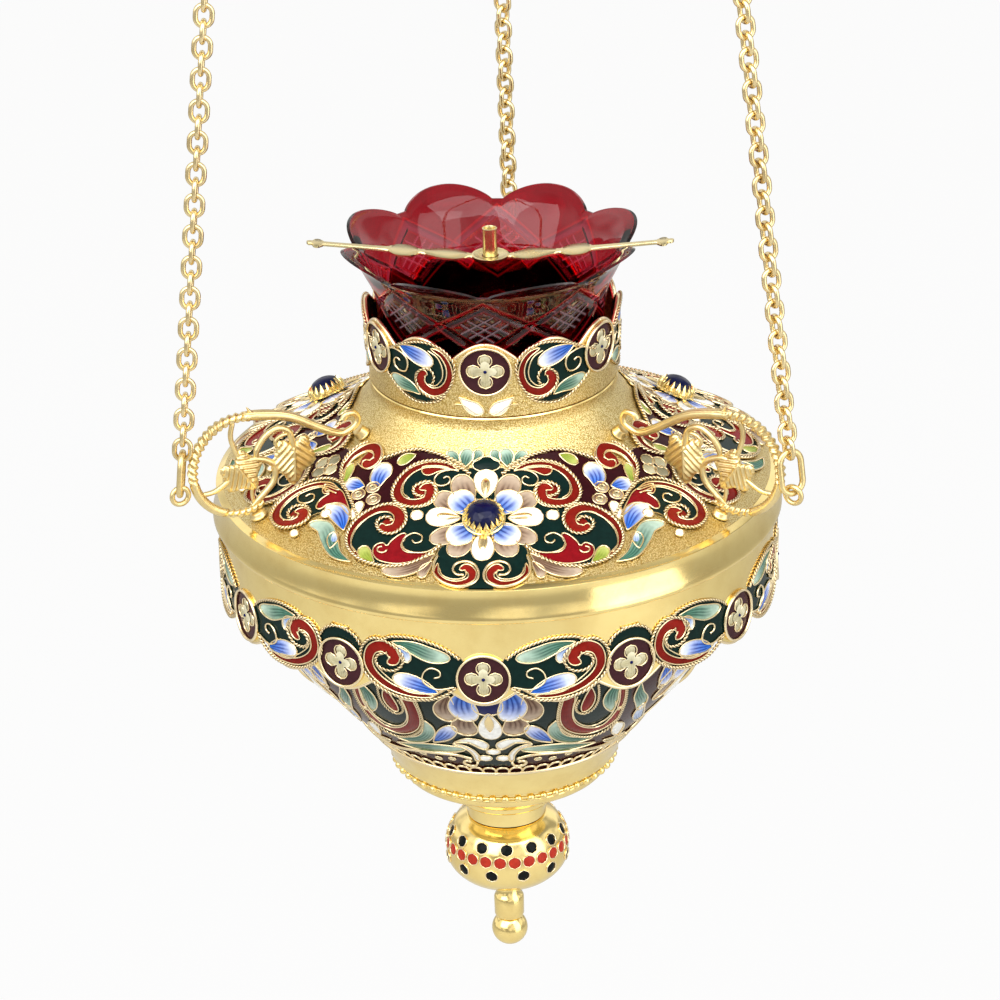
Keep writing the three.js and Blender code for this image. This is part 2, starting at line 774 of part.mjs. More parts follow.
// One arm's upper edge, from the dish to the trefoil tip, as [distance, half width]
const stripEdge = [
  [dishRadius, stripHalfWidth],
  [9, stripLeafHalfWidth * 0.7],
  [13, stripLeafHalfWidth],
  [17, stripLeafHalfWidth * 0.7],
  [20.5, stripHalfWidth],
  [22.6, stripLeafHalfWidth * 0.8],
  [25.5, stripLeafHalfWidth],
  [28.4, stripLeafHalfWidth * 0.8],
  [30.5, stripHalfWidth],
  [stripReach - 5, stripHalfWidth],
  [stripReach - 3.4, stripHalfWidth * 1.7],
  [stripReach - 1.6, stripHalfWidth * 1.5],
  [stripReach, stripHalfWidth * 0.4],
];

function floatStrip() {
  const outline = [];
  const dishSteps = 5;
  const dishTurn = Math.asin(stripHalfWidth / dishRadius);
  const corner = (distance, half) => outline.push(new THREE.Vector2(distance, half));
  stripEdge.slice(1).forEach(([distance, half]) => corner(distance, -half));
  [...stripEdge].slice(1).reverse().forEach(([distance, half]) => corner(distance, half));
  for (let step = 0; step <= dishSteps; step += 1) {
    const turn = THREE.MathUtils.lerp(dishTurn, Math.PI - dishTurn, step / dishSteps);
    corner(dishRadius * Math.cos(turn), dishRadius * Math.sin(turn));
  }
  stripEdge.slice(1).forEach(([distance, half]) => corner(-distance, half));
  [...stripEdge].slice(1).reverse().forEach(([distance, half]) => corner(-distance, -half));
  for (let step = 0; step <= dishSteps; step += 1) {
    const turn = THREE.MathUtils.lerp(dishTurn, Math.PI - dishTurn, step / dishSteps) + Math.PI;
    corner(dishRadius * Math.cos(turn), dishRadius * Math.sin(turn));
  }
  const shape = new THREE.Shape(outline);
  const hole = new THREE.Path();
  hole.absarc(0, 0, (tubeRadius + gap) / Math.cos(Math.PI / 16), 0, 2 * Math.PI);
  shape.holes.push(hole);
  const geometry = new THREE.ExtrudeGeometry(shape, { depth: stripThickness, bevelEnabled: false, curveSegments: 8 });
  const position = geometry.getAttribute('position');
  for (let vertex = 0; vertex < position.count; vertex += 1) {
    const distance = Math.max(Math.abs(position.getX(vertex)), dishRadius);
    const lift = stripHeight(distance) - stripThickness / 2;
    position.setZ(vertex, position.getZ(vertex) + lift);
  }
  return sealed(geometry);
}

function wickTube() {
  const bottom = stripHeight(dishRadius) - tubeBelowDish;
  const top = bottom + tubeHeight;
  return turnedRing([[tubeBore, bottom], [tubeRadius, bottom], [tubeRadius, top], [tubeBore, top]], 16);
}

// Handle: loop, arm and curl, with the vine and two grape leaves inside, cast in one
const loopFootAngle = 250;
const loopTopAngle = 104;
const loopCentreRadius = girdleRadius - loopInset;
const lowerFootAt = loopCentreRadius + loopRadius * Math.cos(radians(loopFootAngle));
const loopFoot = overShoulder(lowerFootAt, lowerFootLength + 2 * gap + frameHalf);
const loopCentre = new THREE.Vector2(
  loopCentreRadius,
  loopFoot.y - loopRadius * Math.sin(radians(loopFootAngle)),
);
const upperFootAt = neckRadius + upperFootReach;
const armRest = overShoulder(upperFootAt, upperFootLength + 2 * gap + frameHalf);

function fromLoop(out, up) {
  return new THREE.Vector2(loopCentre.x + out, loopCentre.y + up);
}

function fromRest(out, up) {
  return new THREE.Vector2(armRest.x + out, armRest.y + up);
}

function handlePath() {
  const path = [];
  const loopSteps = 12;
  for (let step = 0; step < loopSteps; step += 1) {
    const turn = radians(THREE.MathUtils.lerp(loopFootAngle - 367, loopTopAngle, step / loopSteps));
    path.push(fromLoop(loopRadius * Math.cos(turn), loopRadius * Math.sin(turn)));
  }
  const top = radians(loopTopAngle);
  const arm = smoothPath([
    fromLoop(loopRadius * Math.cos(top), loopRadius * Math.sin(top)),
    fromLoop(-9.6, 14),
    fromRest(20.2, 7.4),
    fromRest(10.7, 1.6),
    fromRest(4.6, -1.3),
    armRest,
    fromRest(-1.3, 2.2),
    fromRest(0, 4.4),
    fromRest(2.6, 4.2),
    fromRest(3.6, 2.8),
  ], 15);
  return [...path, ...arm];
}

// Five-lobed leaf in the handle's plane
function leaf(centre, size, tipTurn) {
  const points = [];
  const steps = 15;
  for (let step = 0; step < steps; step += 1) {
    const turn = step / steps * 2 * Math.PI;
    const reach = size * (0.74 + 0.26 * Math.cos(5 * turn));
    points.push(new THREE.Vector2(reach * Math.cos(turn), reach * Math.sin(turn)));
  }
  const shape = new THREE.Shape(points);
  const geometry = new THREE.ExtrudeGeometry(shape, { depth: leafThickness, bevelEnabled: false });
  geometry.rotateZ(radians(tipTurn));
  geometry.rotateX(Math.PI / 2);
  geometry.translate(centre.x, leafThickness / 2, centre.y);
  return sealed(geometry);
}

function handle() {
  const path = handlePath();
  const ends = (share) => Math.max(0, 1 - share * 8) + Math.max(0, share * 4 - 3);
  const half = (share) => THREE.MathUtils.lerp(frameHalf, frameEndHalf, ends(share));
  const halfDepth = (share) => THREE.MathUtils.lerp(frameHalfDepth, frameEndHalf, ends(share));
  const frame = planarTube(path, half, halfDepth, 6);
  const flame = planarTube(smoothPath([fromLoop(-6, 14.6), fromLoop(-4.2, 16), fromLoop(-3.4, 17.6)], 4),
    (share) => 1.2 - share, (share) => 1.2 - share, 6);
  const lowerVine = roundTube(smoothPath([
    fromLoop(-3.2, -14.2),
    fromLoop(-7.6, -10.6),
    fromLoop(-10.6, -7.4),
    fromLoop(-11.2, -3.1),
    fromLoop(-8.1, -0.2),
    fromLoop(-3.2, 0.9),
    fromLoop(0, -1.5),
  ], 9), vineHalf, 4);
  const upperVine = roundTube(smoothPath([
    fromLoop(-5.5, 0.4),
    fromLoop(-5.5, 3.4),
    fromLoop(-8.4, 7.3),
    fromLoop(-12.3, 9.1),
    fromLoop(-16, 7.4),
    fromLoop(-17.2, 2.8),
    fromLoop(-17.2, -1.2),
  ], 9), vineHalf, 4);
  const stem = roundTube(smoothPath([fromLoop(1.5, 15), fromLoop(2.6, 9), fromLoop(0, 1)], 4), vineHalf, 4);
  const tendril = roundTube(smoothPath([fromLoop(0, -2), fromLoop(8, -6.5), fromLoop(13.5, -7)], 3), vineHalf, 4);
  return joined([
    frame,
    flame,
    lowerVine,
    upperVine,
    stem,
    tendril,
    leaf(fromLoop(-0.1, -2.2), leafSize, 234),
    leaf(fromLoop(-17.2, -1.2), leafSize * 1.1, 270),
  ]);
}

// Collet between the handle and the shoulder, square to the shoulder where it stands
function addFoot(parent, name, distance, radius, length) {
  const top = gap + length;
  const profile = [[0, gap], [radius, gap], [radius * 0.85, top], [0, top]];
  const foot = piece(parent, name, turnedPiece(profile, 16), gilt);
  const normal = shoulderNormal(distance);
  foot.position.set(distance, 0, shoulderHeight(distance));
  foot.rotation.y = Math.atan2(normal.x, normal.y);
}

// Round eye outside the loop
const eyeCentre = fromLoop(
  (loopRadius + frameHalf + gap + eyeRadius + eyeWire) * Math.cos(radians(eyeAngle)),
  (loopRadius + frameHalf + gap + eyeRadius + eyeWire) * Math.sin(radians(eyeAngle)),
);

// Heights along a chain, from the middle of the wire at the large link's lower bend
const linkSeat = new THREE.Vector2(eyeCentre.x, eyeCentre.y + eyeRadius - eyeWire - largeLinkWire - gap);
const largeLinkTop = largeLinkLength - 2 * largeLinkWire;
const firstLinkMiddle = largeLinkTop - largeLinkWire - linkWire - gap + linkLength / 2 - linkWire;
const lastLinkMiddle = firstLinkMiddle + (linkCount - 1) * linkPitch;
const topRingMiddle = lastLinkMiddle + linkLength / 2 - 2 * linkWire - topRingWire - gap + topRingRadius;
const armEyeMiddle = topRingMiddle + topRingRadius - topRingWire - armEyeWire - gap + armEyeRadius;

// Chain of one third: open end links, with the links between them as flats turned a quarter each time
function chain() {
  const ends = linkSolid(linkWidth, linkLength, linkWire, 5, 4);
  const first = ends.clone().rotateZ(Math.PI / 2).translate(0, 0, firstLinkMiddle);
  const last = ends.clone().rotateZ(linkCount % 2 === 0 ? 0 : Math.PI / 2).translate(0, 0, lastLinkMiddle);
  const rings = [];
  for (let link = 1; link < linkCount - 1; link += 1) {
    const middle = firstLinkMiddle + link * linkPitch;
    const wide = linkWidth / 2;
    const thin = linkWire;
    const [halfX, halfY] = link % 2 === 0 ? [thin, wide] : [wide, thin];
    for (const height of [middle - linkPitch / 2 + 0.3, middle + linkPitch / 2 - 0.3]) {
      rings.push([
        new THREE.Vector3(halfX, halfY, height),
        new THREE.Vector3(-halfX, halfY, height),
        new THREE.Vector3(-halfX, -halfY, height),
        new THREE.Vector3(halfX, -halfY, height),
      ]);
    }
  }
  return joined([first, skin(rings, false), last]);
}

// Crown arm: a tapered bar that drops from the boss to an eye
const lean = radians(chainLean);
const armEye = new THREE.Vector2(
  linkSeat.x - Math.sin(lean) * armEyeMiddle,
  linkSeat.y + Math.cos(lean) * armEyeMiddle,
);
const bossMiddle = armEye.y + armRise;

function crownArm() {
  const root = new THREE.Vector2(bossRadius + gap, bossMiddle);
  const reach = armEyeRadius * Math.SQRT1_2;
  const tip = new THREE.Vector2(armEye.x - reach, armEye.y + reach);
  const path = smoothPath([
    root,
    new THREE.Vector2(THREE.MathUtils.lerp(root.x, tip.x, 0.35), bossMiddle + 1.5),
    new THREE.Vector2(THREE.MathUtils.lerp(root.x, tip.x, 0.75), THREE.MathUtils.lerp(bossMiddle, tip.y, 0.45)),
    tip,
  ], 8);
  const half = (share) => THREE.MathUtils.lerp(armRootHalf, armTipHalf, share);
  const bar = planarTube(path, half, (share) => half(share) * 0.7, 6);
  const eye = ringSolid(armEyeRadius, armEyeWire, 6, 16).translate(armEye.x, 0, armEye.y);
  return joined([bar, eye]);
}

function crownBoss() {
  const bottom = bossMiddle - bossHeight / 2;
  const top = bossMiddle + bossHeight / 2;
  const bore = shankRadius + gap;
  return turnedRing([
    [bore, bottom],
    [bossRadius - 3, bottom],
    [bossRadius, bottom + 2],
    [bossRadius, top - 2],
    [bossRadius - 3, top],
    [bore, top],
  ], 24);
}

// Swivel bow: a ring whose shank runs down through the boss to its nut
const bowMiddle = bossMiddle + bossHeight / 2 + gap + bowWire + bowRadius;

function swivelBow() {
  const ring = ringSolid(bowRadius, bowWire, 6, 20).rotateZ(Math.PI / 2).translate(0, 0, bowMiddle);
  const shankBottom = bossMiddle - bossHeight / 2 - gap - swivelNutHeight - 1;
  const shankTop = bowMiddle - bowRadius;
  const shank = turnedPiece([
    [0, shankBottom],
    [shankRadius, shankBottom],
    [shankRadius, shankTop],
    [0, shankTop],
  ], 16);
  return joined([ring, shank]);
}

function swivelNut() {
  const top = bossMiddle - bossHeight / 2 - gap;
  const bore = (shankRadius + gap) / Math.cos(Math.PI / 6);
  return turnedRing([
    [bore, top - swivelNutHeight],
    [swivelNutRadius, top - swivelNutHeight],
    [swivelNutRadius, top],
    [bore, top],
  ], 6);
}

const hangingRingRadius = hangingRingBore + hangingRingWire;
const hangingRingMiddle = bowMiddle + bowRadius - bowWire - hangingRingWire - gap + hangingRingRadius;
const hangHeight = hangingRingMiddle + hangingRingBore;

// One third of the lamp: handle, collets, eye, links and chain in the plane y = 0, and the shoulder plate
function addThird(parent, number, azimuth) {
  const third = new THREE.Group();
  third.rotation.z = radians(azimuth);
  parent.add(third);
  piece(third, `handle_${number}`, handle(), gilt);
  addFoot(third, `lower_foot_${number}`, lowerFootAt, lowerFootRadius, lowerFootLength);
  addFoot(third, `upper_foot_${number}`, upperFootAt, upperFootRadius, upperFootLength);
  const eye = ringSolid(eyeRadius, eyeWire, 6, 12).translate(eyeCentre.x, 0, eyeCentre.y);
  piece(third, `handle_eye_${number}`, eye, gilt);
  piece(third, `crown_arm_${number}`, crownArm(), gilt);

  const chainLine = new THREE.Group();
  chainLine.position.set(linkSeat.x, 0, linkSeat.y);
  chainLine.rotation.set(0, -lean, 0);
  third.add(chainLine);
  const turnedLinks = new THREE.Group();
  turnedLinks.rotation.z = radians(90 + linkTurn);
  chainLine.add(turnedLinks);
  const large = linkSolid(largeLinkWidth, largeLinkLength, largeLinkWire, 6, 6).translate(0, 0, largeLinkTop / 2);
  piece(turnedLinks, `large_link_${number}`, large, gilt);
  piece(turnedLinks, `chain_${number}`, chain(), gilt);
  const ring = ringSolid(topRingRadius, topRingWire, 6, 12).rotateZ(linkCount % 2 === 0 ? Math.PI / 2 : 0);
  piece(turnedLinks, `top_ring_${number}`, ring.translate(0, 0, topRingMiddle), gilt);

  const plateGroup = new THREE.Group();
  plateGroup.rotation.z = radians(plateTurn);
  third.add(plateGroup);
  piece(plateGroup, `shoulder_panel_${number}`, shoulderPlate(), greenEnamel);
  const setting = new THREE.Group();
  const cabochonDistance = acrossShoulder(cabochonShare);
  const seat = overShoulder(cabochonDistance, 2 * gap + enamelDepth);
  const tilt = shoulderNormal(cabochonDistance);
  setting.position.set(seat.x, 0, seat.y);
  setting.rotation.y = Math.atan2(tilt.x, tilt.y);
  plateGroup.add(setting);
  piece(setting, `bezel_${number}`, bezel(), gilt);
  piece(setting, `cabochon_${number}`, cabochon(), blueStone);
}

function buildLamp() {
  const object = new THREE.Group();
  const lamp = new THREE.Group();
  lamp.position.z = -hangHeight;
  object.add(lamp);

  const hangingRing = ringSolid(hangingRingRadius, hangingRingWire, 6, 24);
  piece(lamp, 'hanging_ring', hangingRing.translate(0, 0, hangingRingMiddle), gilt);
  piece(lamp, 'swivel_bow', swivelBow(), gilt);
  piece(lamp, 'swivel_nut', swivelNut(), gilt);
  piece(lamp, 'crown_boss', crownBoss(), gilt);

  handleAzimuths.forEach((azimuth, index) => addThird(lamp, index + 1, azimuth));

  piece(lamp, 'shoulder_shell', shoulderShell(), stippledGilt);
  piece(lamp, 'collar_gallery', collarGallery(), greenEnamel);
  piece(lamp, 'glass_seat', glassSeat(), gilt);
  piece(lamp, 'garland_band', garlandBand(), greenEnamel);
  piece(lamp, 'bowl_shell', bowlShell(), gilt);
  piece(lamp, 'bowl_enamel', bowlEnamel(), greenEnamel);
  piece(lamp, 'base_moulding', baseMoulding(), gilt);
  piece(lamp, 'bead_ring', beadRing(), gilt);
  piece(lamp, 'polished_neck', polishedNeck(), gilt);
  piece(lamp, 'knop', knop(), gilt);
  piece(lamp, 'spacer', spacer(), gilt);
  piece(lamp, 'ball_finial', ballFinial(), gilt);
  addTieRod(lamp);

  piece(lamp, 'glass_cup', glassCup(), rubyGlass);
  piece(lamp, 'float_strip', floatStrip(), gilt);
  piece(lamp, 'wick_tube', wickTube(), gilt);
  return object;
}

export default buildLamp();
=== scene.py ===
import math

import bpy
import numpy as np
from mathutils import Matrix, Vector


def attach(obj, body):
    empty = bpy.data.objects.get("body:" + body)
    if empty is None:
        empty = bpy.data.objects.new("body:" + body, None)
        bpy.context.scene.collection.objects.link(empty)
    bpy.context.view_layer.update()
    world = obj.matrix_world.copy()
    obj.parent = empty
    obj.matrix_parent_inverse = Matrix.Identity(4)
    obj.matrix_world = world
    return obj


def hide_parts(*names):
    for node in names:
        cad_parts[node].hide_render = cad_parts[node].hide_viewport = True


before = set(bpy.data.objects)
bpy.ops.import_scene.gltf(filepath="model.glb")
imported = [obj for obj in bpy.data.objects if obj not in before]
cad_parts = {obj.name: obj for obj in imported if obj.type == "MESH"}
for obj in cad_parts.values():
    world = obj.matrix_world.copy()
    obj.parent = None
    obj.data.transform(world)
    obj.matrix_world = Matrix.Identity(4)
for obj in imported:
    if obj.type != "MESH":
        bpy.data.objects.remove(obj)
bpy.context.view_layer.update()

# Camera: a long lens about 1.4 m from the lamp, a little left of square on and looking down at it,
# with the slight roll of a camera held by hand on its stand.
lens_data = bpy.data.cameras.new("camera")
lens_data.lens = 164.4
lens_data.sensor_width = 36
camera = bpy.data.objects.new("camera", lens_data)
bpy.context.scene.collection.objects.link(camera)
bpy.context.scene.camera = camera
camera_place = (0.0838, -1.2700, 0.33037)
heading, dip, roll = math.radians(93.74), math.radians(24.63), -0.0290
forward = Vector((math.cos(heading) * math.cos(dip), math.sin(heading) * math.cos(dip), -math.sin(dip)))
level = forward.cross(Vector((0, 0, 1))).normalized()
upright = level.cross(forward)
across = level * math.cos(roll) + upright * math.sin(roll)
above = upright * math.cos(roll) - level * math.sin(roll)
turned_camera = Matrix((across, above, -forward)).transposed().to_4x4()
camera.matrix_world = Matrix.Translation(camera_place) @ turned_camera

# Room: a white studio with its backdrop behind the lamp, a dimmer room behind the camera and a dark
# ceiling, three large soft lamps, and a pale floor well below the hanging lamp.
scene = bpy.context.scene
scene.view_settings.view_transform = "Standard"
world = bpy.data.worlds.new("studio")
scene.world = world
world.use_nodes = True
room = world.node_tree
room.nodes.clear()


def connect(tree, node, feeds):
    # Each input is linked to the output that feeds it, or set to a value
    for label, feed in feeds.items():
        if isinstance(feed, bpy.types.NodeSocket):
            tree.links.new(feed, node.inputs[label])
        else:
            node.inputs[label].default_value = feed


def add_node(tree, kind, feeds=None, **settings):
    node = tree.nodes.new("ShaderNode" + kind)
    for label, value in settings.items():
        setattr(node, label, value)
    connect(tree, node, feeds or {})
    return node.outputs


def mapped(tree, value, low, high, to_low=0, to_high=1):
    feeds = {"Value": value, "From Min": low, "From Max": high, "To Min": to_low, "To Max": to_high}
    return add_node(tree, "MapRange", feeds)[0]


def reckoned(tree, operation, *terms):
    return add_node(tree, "Math", dict(enumerate(terms)), operation=operation)[0]


facing = add_node(room, "TexCoord")["Generated"]
parts = add_node(room, "SeparateXYZ", {0: facing})
depth = mapped(room, parts["Y"], -0.75, 0.35, 0.92, 0.95)
ceiling = mapped(room, parts["Z"], 0.55, 0.85, 1.0, 0.55)
furnishing = add_node(room, "TexNoise", {"Vector": facing, "Scale": 2.2, "Detail": 1})["Fac"]
furnished = mapped(room, furnishing, 0.38, 0.55, 0.45, 1.2)
uneven_room = reckoned(room, "MULTIPLY", reckoned(room, "MULTIPLY", depth, ceiling), furnished)
dim_room = add_node(room, "Background", {"Color": (1.0, 0.98, 0.95, 1), "Strength": uneven_room})
white_room = add_node(room, "Background", {"Color": (1, 1, 1, 1), "Strength": 1.0})
seen = add_node(room, "LightPath")["Is Camera Ray"]
add_node(room, "OutputWorld", {
    "Surface": add_node(room, "MixShader", {0: seen, 1: dim_room[0], 2: white_room[0]})[0]})


def soft_lamp(name, place, aim, size, power):
    light = bpy.data.lights.new(name, "AREA")
    light.shape = "RECTANGLE"
    light.size, light.size_y = size
    light.energy = power
    lamp = bpy.data.objects.new(name, light)
    lamp.location = place
    lamp.rotation_euler = (Vector(aim) - Vector(place)).to_track_quat("-Z", "Y").to_euler()
    scene.collection.objects.link(lamp)


soft_lamp("key_lamp", (-0.9, -1.1, 0.75), (0, 0, -0.25), (1.7, 1.7), 22)
soft_lamp("fill_lamp", (1.1, -0.7, 0.1), (0, 0, -0.28), (1.0, 1.8), 9)
soft_lamp("top_lamp", (0.2, -0.75, 1.0), (0, 0, -0.2), (1.8, 1.0), 14)

floor_half, floor_level = 6.0, -0.80
floor_mesh = bpy.data.meshes.new("floor")
corners = [(-1, -1), (1, -1), (1, 1), (-1, 1)]
floor_mesh.from_pydata([(x * floor_half, y * floor_half, floor_level) for x, y in corners], [],
                       [(0, 1, 2, 3)])
floor = bpy.data.objects.new("floor", floor_mesh)
scene.collection.objects.link(floor)


def new_finish(name, feeds):
    finish = bpy.data.materials.new(name)
    finish.use_nodes = True
    shader = finish.node_tree.nodes["Principled BSDF"]
    connect(finish.node_tree, shader, feeds)
    return finish, finish.node_tree, shader


def ramp(tree, factor, first, last):
    node = tree.nodes.new("ShaderNodeValToRGB")
    node.color_ramp.elements[0].color = first
    node.color_ramp.elements[1].color = last
    connect(tree, node, {0: factor})
    return node.outputs[0]


floor_paint, tree, shader = new_finish("pale_floor", {"Roughness": 0.8})
grain = add_node(tree, "TexNoise", {"Scale": 3})["Fac"]
connect(tree, shader, {"Base Color": ramp(tree, grain, (0.57, 0.57, 0.56, 1), (0.61, 0.61, 0.60, 1))})
glow = add_node(tree, "Emission", {"Strength": 1.0})[0]
glow_for_camera = 0.93
portion = reckoned(tree, "MULTIPLY", add_node(tree, "LightPath")["Is Camera Ray"], glow_for_camera)
blend = add_node(tree, "MixShader", {0: portion, 1: shader.outputs[0], 2: glow})[0]
connect(tree, tree.nodes["Material Output"], {"Surface": blend})
floor_mesh.materials.append(floor_paint)

# Shoulder shell: one spun and gilded sheet with a plain neck, a slope that is struck all over with a
# small round punch, and a polished band with a rolled foot round the girdle.
# All pieces are drawn in millimetres from the girdle and placed below the ring that the lamp hangs from.
hang_height = 253.63
girdle_radius, band_height, band_top = 85.0, 11.0, 85.5
slope_rise, neck_radius, flare_rise, flare_length = 0.434, 37.5, 8.5, 7.0


def shoulder_height(radius):
    flare = flare_rise * np.exp((neck_radius - radius) / flare_length)
    return band_height + slope_rise * (band_top - radius) + flare


neck_top = shoulder_height(neck_radius) + 3.9


def grid_faces(rows, columns, close_rows=False, close_columns=False):
    row, column = np.meshgrid(np.arange(rows if close_rows else rows - 1),
                              np.arange(columns if close_columns else columns - 1), indexing="ij")
    below, beside = (row + 1) % rows, (column + 1) % columns
    near, far = row * columns, below * columns
    return np.stack([near + column, near + beside, far + beside, far + column], -1).reshape(-1, 4)


def outward(points, faces):
    a, b, c, d = (points[faces[:, k]] for k in range(4))
    volume = np.einsum("ij,ij->", a, np.cross(b, c)) + np.einsum("ij,ij->", a, np.cross(c, d))
    return faces[:, ::-1] if volume < 0 else faces


def polar(radius, degrees, height):
    angle = np.radians(degrees)
    return np.stack(np.broadcast_arrays(radius * np.cos(angle), radius * np.sin(angle), height), -1)


def turned(profile, steps=180):
    profile = np.array(profile, float)
    points = polar(profile[:, :1], np.arange(steps) * 360 / steps, profile[:, 1:]).reshape(-1, 3)
    return points, outward(points, grid_faces(len(profile), steps, True, True))


def about_axis(points, degrees):
    swing = math.radians(degrees)
    return points @ np.array([[math.cos(swing), math.sin(swing), 0],
                              [-math.sin(swing), math.cos(swing), 0], [0, 0, 1]])


def add_piece(name, shape, finishes=None, body="lamp", replaced=None, sharp=50,
              turn=0.0):
    # A shape is its points and faces and, where it has several finishes, the faces' kinds and the tints
    points, faces, kinds, tints = (*shape, None, None)[:4]
    mesh = bpy.data.meshes.new(name)
    placed = (about_axis(np.asarray(points), turn) - (0, 0, hang_height)) / 1000
    mesh.from_pydata(placed.tolist(), [], np.asarray(faces).tolist())
    for finish in finishes or [polished_gilt]:
        mesh.materials.append(finish)
    mesh.polygons.foreach_set("use_smooth", [True] * len(mesh.polygons))
    if kinds is not None:
        mesh.polygons.foreach_set("material_index", np.asarray(kinds, dtype=np.int32))
    if tints is not None:
        layer = mesh.color_attributes.new("tint", "FLOAT_COLOR", "POINT")
        layer.data.foreach_set("color", np.asarray(tints, dtype=np.float32).ravel())
    mesh.update()
    if sharp:
        mesh.set_sharp_from_angle(angle=math.radians(sharp))
    item = bpy.data.objects.new(name, mesh)
    scene.collection.objects.link(item)
    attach(item, body)
    replaced = [name] if replaced is None else replaced
    if replaced:
        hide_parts(*replaced)


# Node parts that the finishes share: noise in the piece's own space, a blend of two colours, a bump,
# the soft unevenness and brown film of old gilding, and a struck ground of small round dents
def noise(tree, scale, detail=2, roughness=0.5):
    where = add_node(tree, "TexCoord")["Object"]
    return add_node(tree, "TexNoise", {"Vector": where, "Scale": scale, "Detail": detail,
                                       "Roughness": roughness})["Fac"]


def blended(tree, factor, first, second, **settings):
    return add_node(tree, "Mix", {"Factor": factor, "A": first, "B": second}, data_type="RGBA",
                    **settings)["Result"]


def bumped(tree, height, strength, distance=0.0002):
    return add_node(tree, "Bump", {"Height": height, "Strength": strength, "Distance": distance})[0]


def new_group(name, inputs, outputs):
    group = bpy.data.node_groups.new(name, "ShaderNodeTree")
    for label, value in inputs.items():
        kind = "NodeSocketColor" if isinstance(value, tuple) else "NodeSocketFloat"
        group.interface.new_socket(label, in_out="INPUT", socket_type=kind).default_value = value
    for label, kind in outputs.items():
        group.interface.new_socket(label, in_out="OUTPUT", socket_type="NodeSocket" + kind)
    return group, group.nodes.new("NodeGroupInput").outputs, group.nodes.new("NodeGroupOutput")


old_gilding, given, out = new_group(
    "old_gilding", {"Metal": (0.84, 0.60, 0.24, 1), "Film": (0.36, 0.20, 0.07, 1), "Film amount": 0.35,
                    "Roughness": 0.2}, {"Color": "Color", "Roughness": "Float", "Height": "Float"})
patch = mapped(old_gilding, noise(old_gilding, 90, 6, 0.65), 0.45, 0.75)
film = reckoned(old_gilding, "MULTIPLY", patch, given["Film amount"])
connect(old_gilding, out, {
    "Color": blended(old_gilding, film, given["Metal"], given["Film"]),
    "Roughness": reckoned(old_gilding, "MULTIPLY_ADD", film, 0.16, given["Roughness"]),
    "Height": noise(old_gilding, 900, 4)})

struck_ground, given, out = new_group("struck_ground", {"Scale": 1100.0},
                                      {"Dent": "Float", "Height": "Float"})
punch = add_node(struck_ground, "TexVoronoi", {
    "Vector": add_node(struck_ground, "TexCoord")["Object"], "Scale": given["Scale"], "Randomness": 0.8})
connect(struck_ground, out, {"Dent": mapped(struck_ground, punch["Distance"], 0.25, 0.65),
                             "Height": punch["Distance"]})


def gilding(tree, metal, film, amount, roughness):
    feeds = {"Metal": metal, "Film": film, "Film amount": amount, "Roughness": roughness}
    return add_node(tree, "Group", feeds, node_tree=old_gilding)


def gilt_finish(name, metal, film, amount, roughness, bump=0.02):
    finish, tree, shader = new_finish(name, {"Metallic": 1})
    surface = gilding(tree, metal, film, amount, roughness)
    connect(tree, shader, {"Base Color": surface["Color"], "Roughness": surface["Roughness"],
                           "Normal": bumped(tree, surface["Height"], bump, 0.0005)})
    return finish


polished_gilt = gilt_finish("polished_gilt", (0.97, 0.77, 0.32, 1), (0.66, 0.41, 0.10, 1), 0.35, 0.13)
stippled_gilt = gilt_finish("stippled_gilt", (1.0, 0.87, 0.46, 1), (0.86, 0.66, 0.28, 1), 0.25, 0.3)
tree = stippled_gilt.node_tree
shader = tree.nodes["Principled BSDF"]
dents = add_node(tree, "Group", {"Scale": 2300.0}, node_tree=struck_ground)
film_colour = shader.inputs["Base Color"].links[0].from_socket
connect(tree, shader, {
    "Base Color": blended(tree, dents["Dent"], film_colour, (0.60, 0.48, 0.27, 1), blend_type="MULTIPLY"),
    "Normal": bumped(tree, dents["Height"], 0.8)})

slope_radii = neck_radius + (band_top - neck_radius) * np.linspace(0, 1, 40) ** 1.5
lip, shell_steps = girdle_radius + 2.1, 240
band_profile = [(band_top, band_height), (band_top + 0.25, band_height - 0.2),
                (band_top + 0.2, band_height - 1.0), (band_top + 0.35, 8.0), (band_top + 0.8, 5.2),
                (lip - 0.3, 3.1), (lip, 2.0), (lip, 1.2), (lip - 0.5, 0.6)]
inside_profile = [(82.4, 0.6), (82.4, 1.6), (lip - 1.6, 1.6), (84.6, 9.8)]
inside_profile += [(radius - 0.4, shoulder_height(radius) - 1.0) for radius in slope_radii[::-3]]
shell_profile = [(neck_radius, neck_top), (neck_radius + 0.25, neck_top - 0.4),
                 (neck_radius + 0.05, neck_top - 0.9)]
shell_profile += [(radius, shoulder_height(radius)) for radius in slope_radii[:-1]]
slope_last = len(shell_profile)
shell_profile += band_profile + inside_profile + [(neck_radius - 1, neck_top)]
points, faces = turned(shell_profile, shell_steps)
row = np.repeat(np.arange(len(shell_profile)), shell_steps)
struck = ((row >= 1) & (row < slope_last - 1)).astype(int)
add_piece("shoulder_shell", (points, faces, struck), [polished_gilt, stippled_gilt])

# Enamelled shoulder plates: on each third a filigree plate lies on the stippled slope. Scrolls of twisted
# wire are soldered to a sheet and filled with glass enamel, petals and leaves between finer plain wires,
# round the cabochon in the middle. The two halves mirror each other, so one half is drawn and reflected.
plate_turns = (270, 30, 150)


def slope_at(distance):
    return slope_rise + flare_rise / flare_length * np.exp((neck_radius - distance) / flare_length)


def on_shoulder(turn, reach, lift):
    slope = slope_at(reach)
    size = np.sqrt(slope ** 2 + 1)
    return polar(reach + lift * slope / size, turn, shoulder_height(reach) + lift / size)


